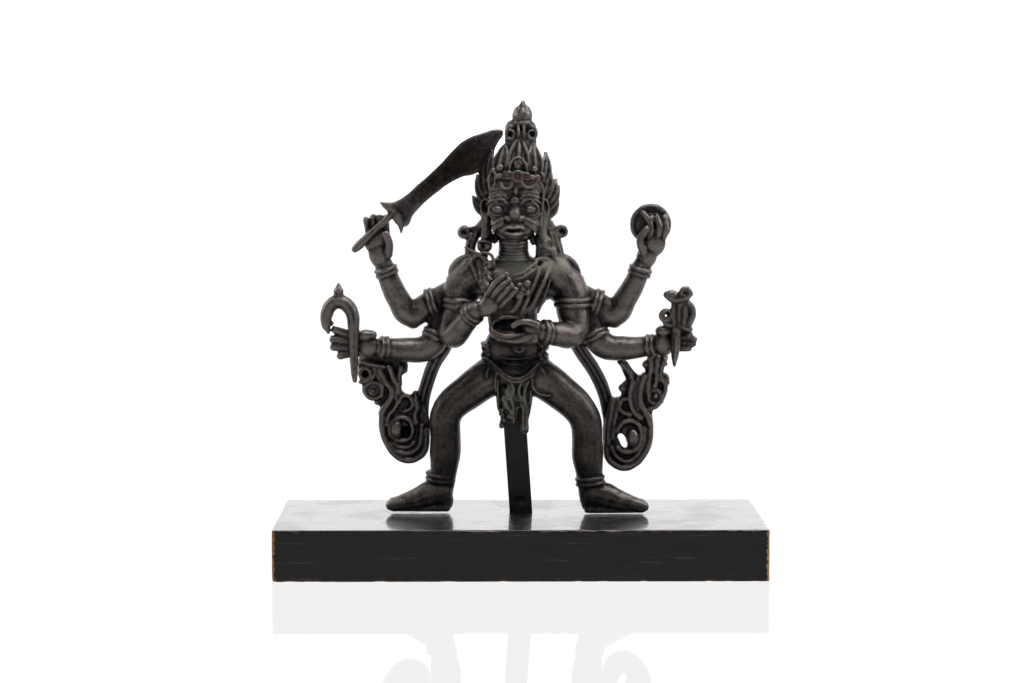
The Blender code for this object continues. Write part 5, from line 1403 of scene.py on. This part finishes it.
# %% Wooden block
BLOCK_HALF = tuple((BLOCK_HIGH[n] - BLOCK_LOW[n]) / 2 for n in range(3))
block_mesh = bar_skin("block", BLOCK_HALF, 0.4 * MM, 2.0 * MM, 4.0 * MM)
bite, edge = wear(block_mesh, BLOCK_HALF, 0.45 * MM, 0.9 * MM, 4.0 * MM, Vector((11, 5, 2)))
spots = mesh_points(block_mesh)
end_near = np.clip(1.0 - (BLOCK_HALF[0] - np.abs(spots[:, 0])) / (2.2 * MM), 0, 1)
low_near = np.clip(1.0 - (spots[:, 2] + BLOCK_HALF[2]) / (0.7 * MM), 0, 1)
corner_near = np.clip(1.0 - (BLOCK_HALF[1] - np.abs(spots[:, 1])) / (1.4 * MM), 0, 1)
store(block_mesh, "bare", np.clip(end_near * corner_near * 1.3 + low_near, 0, 1))
store(block_mesh, "knock", np.clip(bite * 3.0, 0, 1) * edge)
print("block:", len(block_mesh.polygons), "faces")

# %% [markdown]
# The finish is black lacquer brushed on close-grained hardwood. Lacquer is a clear glossy coat
# over a dark body, so the shader's coat does the mirror work. The grain shows only as fine streaks
# along the block, and where the coat is torn off, tan wood shows. The top is polished and the
# sides are duller from handling, so the coat follows the way the surface faces.
# Wood grain is 0.45 mm wide and drawn forty times as long; its bands are 2.4 mm wide.

# %% Black lacquer on wood
GRAIN_WIDTH = 0.45 * MM
BAND_WIDTH = 2.4 * MM
CHIP_SIZE = 1.6 * MM
SCRATCH_SPACING = 1.1 * MM
RUB_SIZE = 24 * MM
lacquer, tree, shader = new_material("black_lacquer_on_wood")
where = add(tree, "ShaderNodeTexCoord").outputs["Object"]
streaks = add(tree, "ShaderNodeMapping", Vector=where, Scale=(0.025, 1.0, 1.0)).outputs[0]
grain = add(tree, "ShaderNodeTexNoise", Vector=streaks, Scale=1 / GRAIN_WIDTH, Detail=5.0,
            Roughness=0.65).outputs["Fac"]
broad = add(tree, "ShaderNodeTexNoise", Vector=streaks, Scale=1 / BAND_WIDTH, Detail=3.0).outputs["Fac"]
chip_way = add(tree, "ShaderNodeMapping", Vector=where, Scale=(0.3, 1.0, 1.0)).outputs[0]
chips = add(tree, "ShaderNodeTexNoise", Vector=chip_way, Scale=1 / CHIP_SIZE, Detail=5.0,
            Roughness=0.7).outputs["Fac"]
bare = add(tree, "ShaderNodeAttribute", {"attribute_name": "bare"}).outputs["Fac"]
knock = add(tree, "ShaderNodeAttribute", {"attribute_name": "knock"}).outputs["Fac"]
scratch_way = add(tree, "ShaderNodeMapping", Vector=where, Scale=(0.05, 1.0, 1.0),
                  Rotation=(0.0, 0.0, 0.16)).outputs[0]
scratch_field = add(tree, "ShaderNodeTexNoise", Vector=scratch_way, Scale=1 / SCRATCH_SPACING,
                    Detail=2.0).outputs["Fac"]
rub_field = add(tree, "ShaderNodeTexNoise", Vector=where, Scale=1 / RUB_SIZE, Detail=3.0,
                Roughness=0.6).outputs["Fac"]
facing_up = add(tree, "ShaderNodeSeparateXYZ",
                i0=add(tree, "ShaderNodeTexCoord").outputs["Normal"]).outputs["Z"]
broken = add(tree, "ShaderNodeMath", {"operation": "MULTIPLY_ADD"}, i0=bare, i1=0.55,
             i2=chips).outputs[0]
RANGES = {"body": (grain, 0.35, 0.68, 0.0, 1.0), "bands": (broad, 0.55, 0.75, 0.0, 0.35),
          "torn": (broken, 0.86, 0.98, 0.0, 1.0), "wood": (grain, 0.3, 0.7, 0.0, 1.0),
          "knocks": (knock, 0.0, 1.0, 0.0, 0.35), "scratches": (scratch_field, 0.68, 0.71, 0.0, 1.0),
          "scratch tint": (scratch_field, 0.68, 0.71, 0.0, 0.5), "satin": (grain, 0.3, 0.7, 0.16, 0.42),
          "rubs": (rub_field, 0.5, 0.72, 0.0, 0.25), "coat by side": (facing_up, 0.5, 0.9, 0.12, 0.85),
          "shine by side": (facing_up, 0.5, 0.9, 0.2, 0.5), "coat haze": (broad, 0.4, 0.7, 0.04, 0.12)}
amounts = {}
for name, (field, low, high, least, most) in RANGES.items():
    amounts[name] = add(tree, "ShaderNodeMapRange", Value=field, From_Min=low, From_Max=high,
                        To_Min=least,
                        To_Max=most).outputs[0]
whole_coat = add(tree, "ShaderNodeMapRange", Value=amounts["torn"], From_Max=0.5, To_Min=1.0,
                 To_Max=0.0).outputs[0]
print("fields of the lacquer:", len(amounts))

# %% [markdown]
# The colours are laid over each other in the order in which they came about: the black body, its
# bands, the torn places, the knocks, the scratches. Then roughness and the clear coat follow.

# %% Colours and gloss of the lacquer
wood = add(tree, "ShaderNodeMix", {"data_type": "RGBA"}, Factor=amounts["wood"], i6=linear("#6b4429"),
           i7=linear("#b98a58")).outputs[2]
shade = linear("#030303")
for name, colour in (("body", linear("#1b191b")), ("bands", linear("#191818")), ("torn", wood),
                     ("knocks", linear("#4a3226")), ("scratch tint", linear("#3b3938"))):
    shade = add(tree, "ShaderNodeMix", {"data_type": "RGBA"}, Factor=amounts[name], i6=shade,
                i7=colour).outputs[2]
rough = add(tree, "ShaderNodeMath", {"operation": "ADD"}, i0=amounts["satin"],
            i1=amounts["rubs"]).outputs[0]
glossy = add(tree, "ShaderNodeMath", {"operation": "MULTIPLY"}, i0=whole_coat,
             i1=amounts["coat by side"]).outputs[0]
haze = add(tree, "ShaderNodeMath", {"operation": "MULTIPLY_ADD"}, i0=amounts["scratches"], i1=0.3,
           i2=amounts["coat haze"]).outputs[0]
for value, socket in ((shade, "Base Color"), (rough, "Roughness"), (glossy, "Coat Weight"),
                      (amounts["shine by side"], "Specular IOR Level"), (haze, "Coat Roughness")):
    tree.links.new(value, shader.inputs[socket])
bump = add(tree, "ShaderNodeBump", Height=grain, Strength=0.8, Distance=0.14 * MM)
tree.links.new(bump.outputs["Normal"], shader.inputs["Normal"])
block_middle = [(BLOCK_LOW[n] + BLOCK_HIGH[n]) / 2 for n in range(3)]
dress("lacquered_block", block_mesh, Matrix.Translation(block_middle), lacquer, "wooden_base")
print("nodes of the lacquer:", len(tree.nodes))

# %% [markdown]
# The camera stands where the photographer's did, found from the four corners of the block: a
# metre away, level with the tip of the finial and looking slightly down, with a short telephoto
# lens.

# %% Camera
PHOTO_WIDTH = 1024
FOCAL_PIXELS = 2525.0
LOOK_DOWN = 5.3
TURN_PIXELS = 23
camera_data = bpy.data.cameras.new("camera")
camera_data.sensor_width = 36.0
camera_data.lens = FOCAL_PIXELS / PHOTO_WIDTH * camera_data.sensor_width
camera = linked("camera", camera_data)
camera.location = (-12.7 * MM, -1041.6 * MM, BLOCK_TOP + 169.0 * MM)
camera.rotation_euler = (math.radians(90 - LOOK_DOWN), 0.0, -math.atan(TURN_PIXELS / FOCAL_PIXELS))
bpy.context.scene.camera = camera
print(f"lens: {camera_data.lens:.1f} mm")

# %% [markdown]
# The figure is shot on white. The floor is a sheet of glossy white acrylic lit from below, so it
# glows evenly and mirrors the block faintly.

# %% Floor
FLOOR_MIRROR = 0.13
floor_sheet = bpy.data.materials.new("backlit_acrylic_sheet")
floor_sheet.use_nodes = True
tree = floor_sheet.node_tree
tree.nodes.clear()
glow = add(tree, "ShaderNodeEmission", Color=(1, 1, 1, 1), Strength=1.0)
mirror = add(tree, "ShaderNodeBsdfGlossy", Color=(1, 1, 1, 1), Roughness=0.03)
blend = add(tree, "ShaderNodeMixShader", i0=FLOOR_MIRROR, i1=glow.outputs[0], i2=mirror.outputs[0])
add(tree, "ShaderNodeOutputMaterial", Surface=blend.outputs[0])
bpy.ops.mesh.primitive_circle_add(vertices=96, radius=8.0, fill_type="NGON", location=(0, 0, -0.2 * MM))
floor = bpy.context.object
floor.name = "studio_floor"
floor.data.materials.append(floor_sheet)
print("floor:", floor.name)

# %% [markdown]
# Behind the figure stands a bright backdrop, while the room before it is dark. That is what keeps
# the bronze dark and lights only its edges and the block's top. The world's brightness rises
# softly towards the back.

# %% Backdrop and room
BACKDROP = 1.45
ROOM = 0.09
world = bpy.data.worlds.new("white_backdrop_dark_room")
bpy.context.scene.world = world
world.use_nodes = True
tree = world.node_tree
toward = add(tree, "ShaderNodeSeparateXYZ", i0=add(tree, "ShaderNodeTexCoord").outputs["Generated"])
light_behind = add(tree, "ShaderNodeMapRange", {"interpolation_type": "SMOOTHSTEP"},
                   Value=toward.outputs["Y"], From_Min=0.1,
                   From_Max=0.75, To_Min=ROOM, To_Max=BACKDROP).outputs[0]
tree.nodes["Background"].inputs["Color"].default_value = (1, 1, 1, 1)
tree.links.new(light_behind, tree.nodes["Background"].inputs["Strength"])
print("backdrop to room:", round(BACKDROP / ROOM, 1))

# %% [markdown]
# Broad soft boxes hang above and at both sides, and a weak one fills in from the front. They give
# the dark metal its long highlights. All of them look at the middle of the figure.

# %% Soft boxes
def lamp(name, place, target, size, watts):
    """A square soft box that looks at a point."""
    data = bpy.data.lights.new(name, "AREA")
    data.shape = "RECTANGLE"
    data.size, data.size_y = size
    data.energy = watts
    made = linked(name, data)
    made.location = place
    made.rotation_euler = (Vector(target) - Vector(place)).to_track_quat("-Z", "Y").to_euler()


HEART = (0.0, 0.0, BLOCK_TOP + 90 * MM)
lamp("overhead_box", (0.1, -0.2, 0.95), HEART, (0.5, 0.4), 6.0)
lamp("left_box", (-0.75, 0.05, 0.5), HEART, (0.3, 0.6), 3.2)
lamp("right_box", (0.7, -0.1, 0.6), HEART, (0.3, 0.6), 4.5)
lamp("front_fill", (-0.25, -1.3, 0.7), HEART, (0.35, 0.35), 1.5)
view = bpy.context.scene.view_settings
view.view_transform = "Standard"
print("lamps:", len(bpy.data.lights))
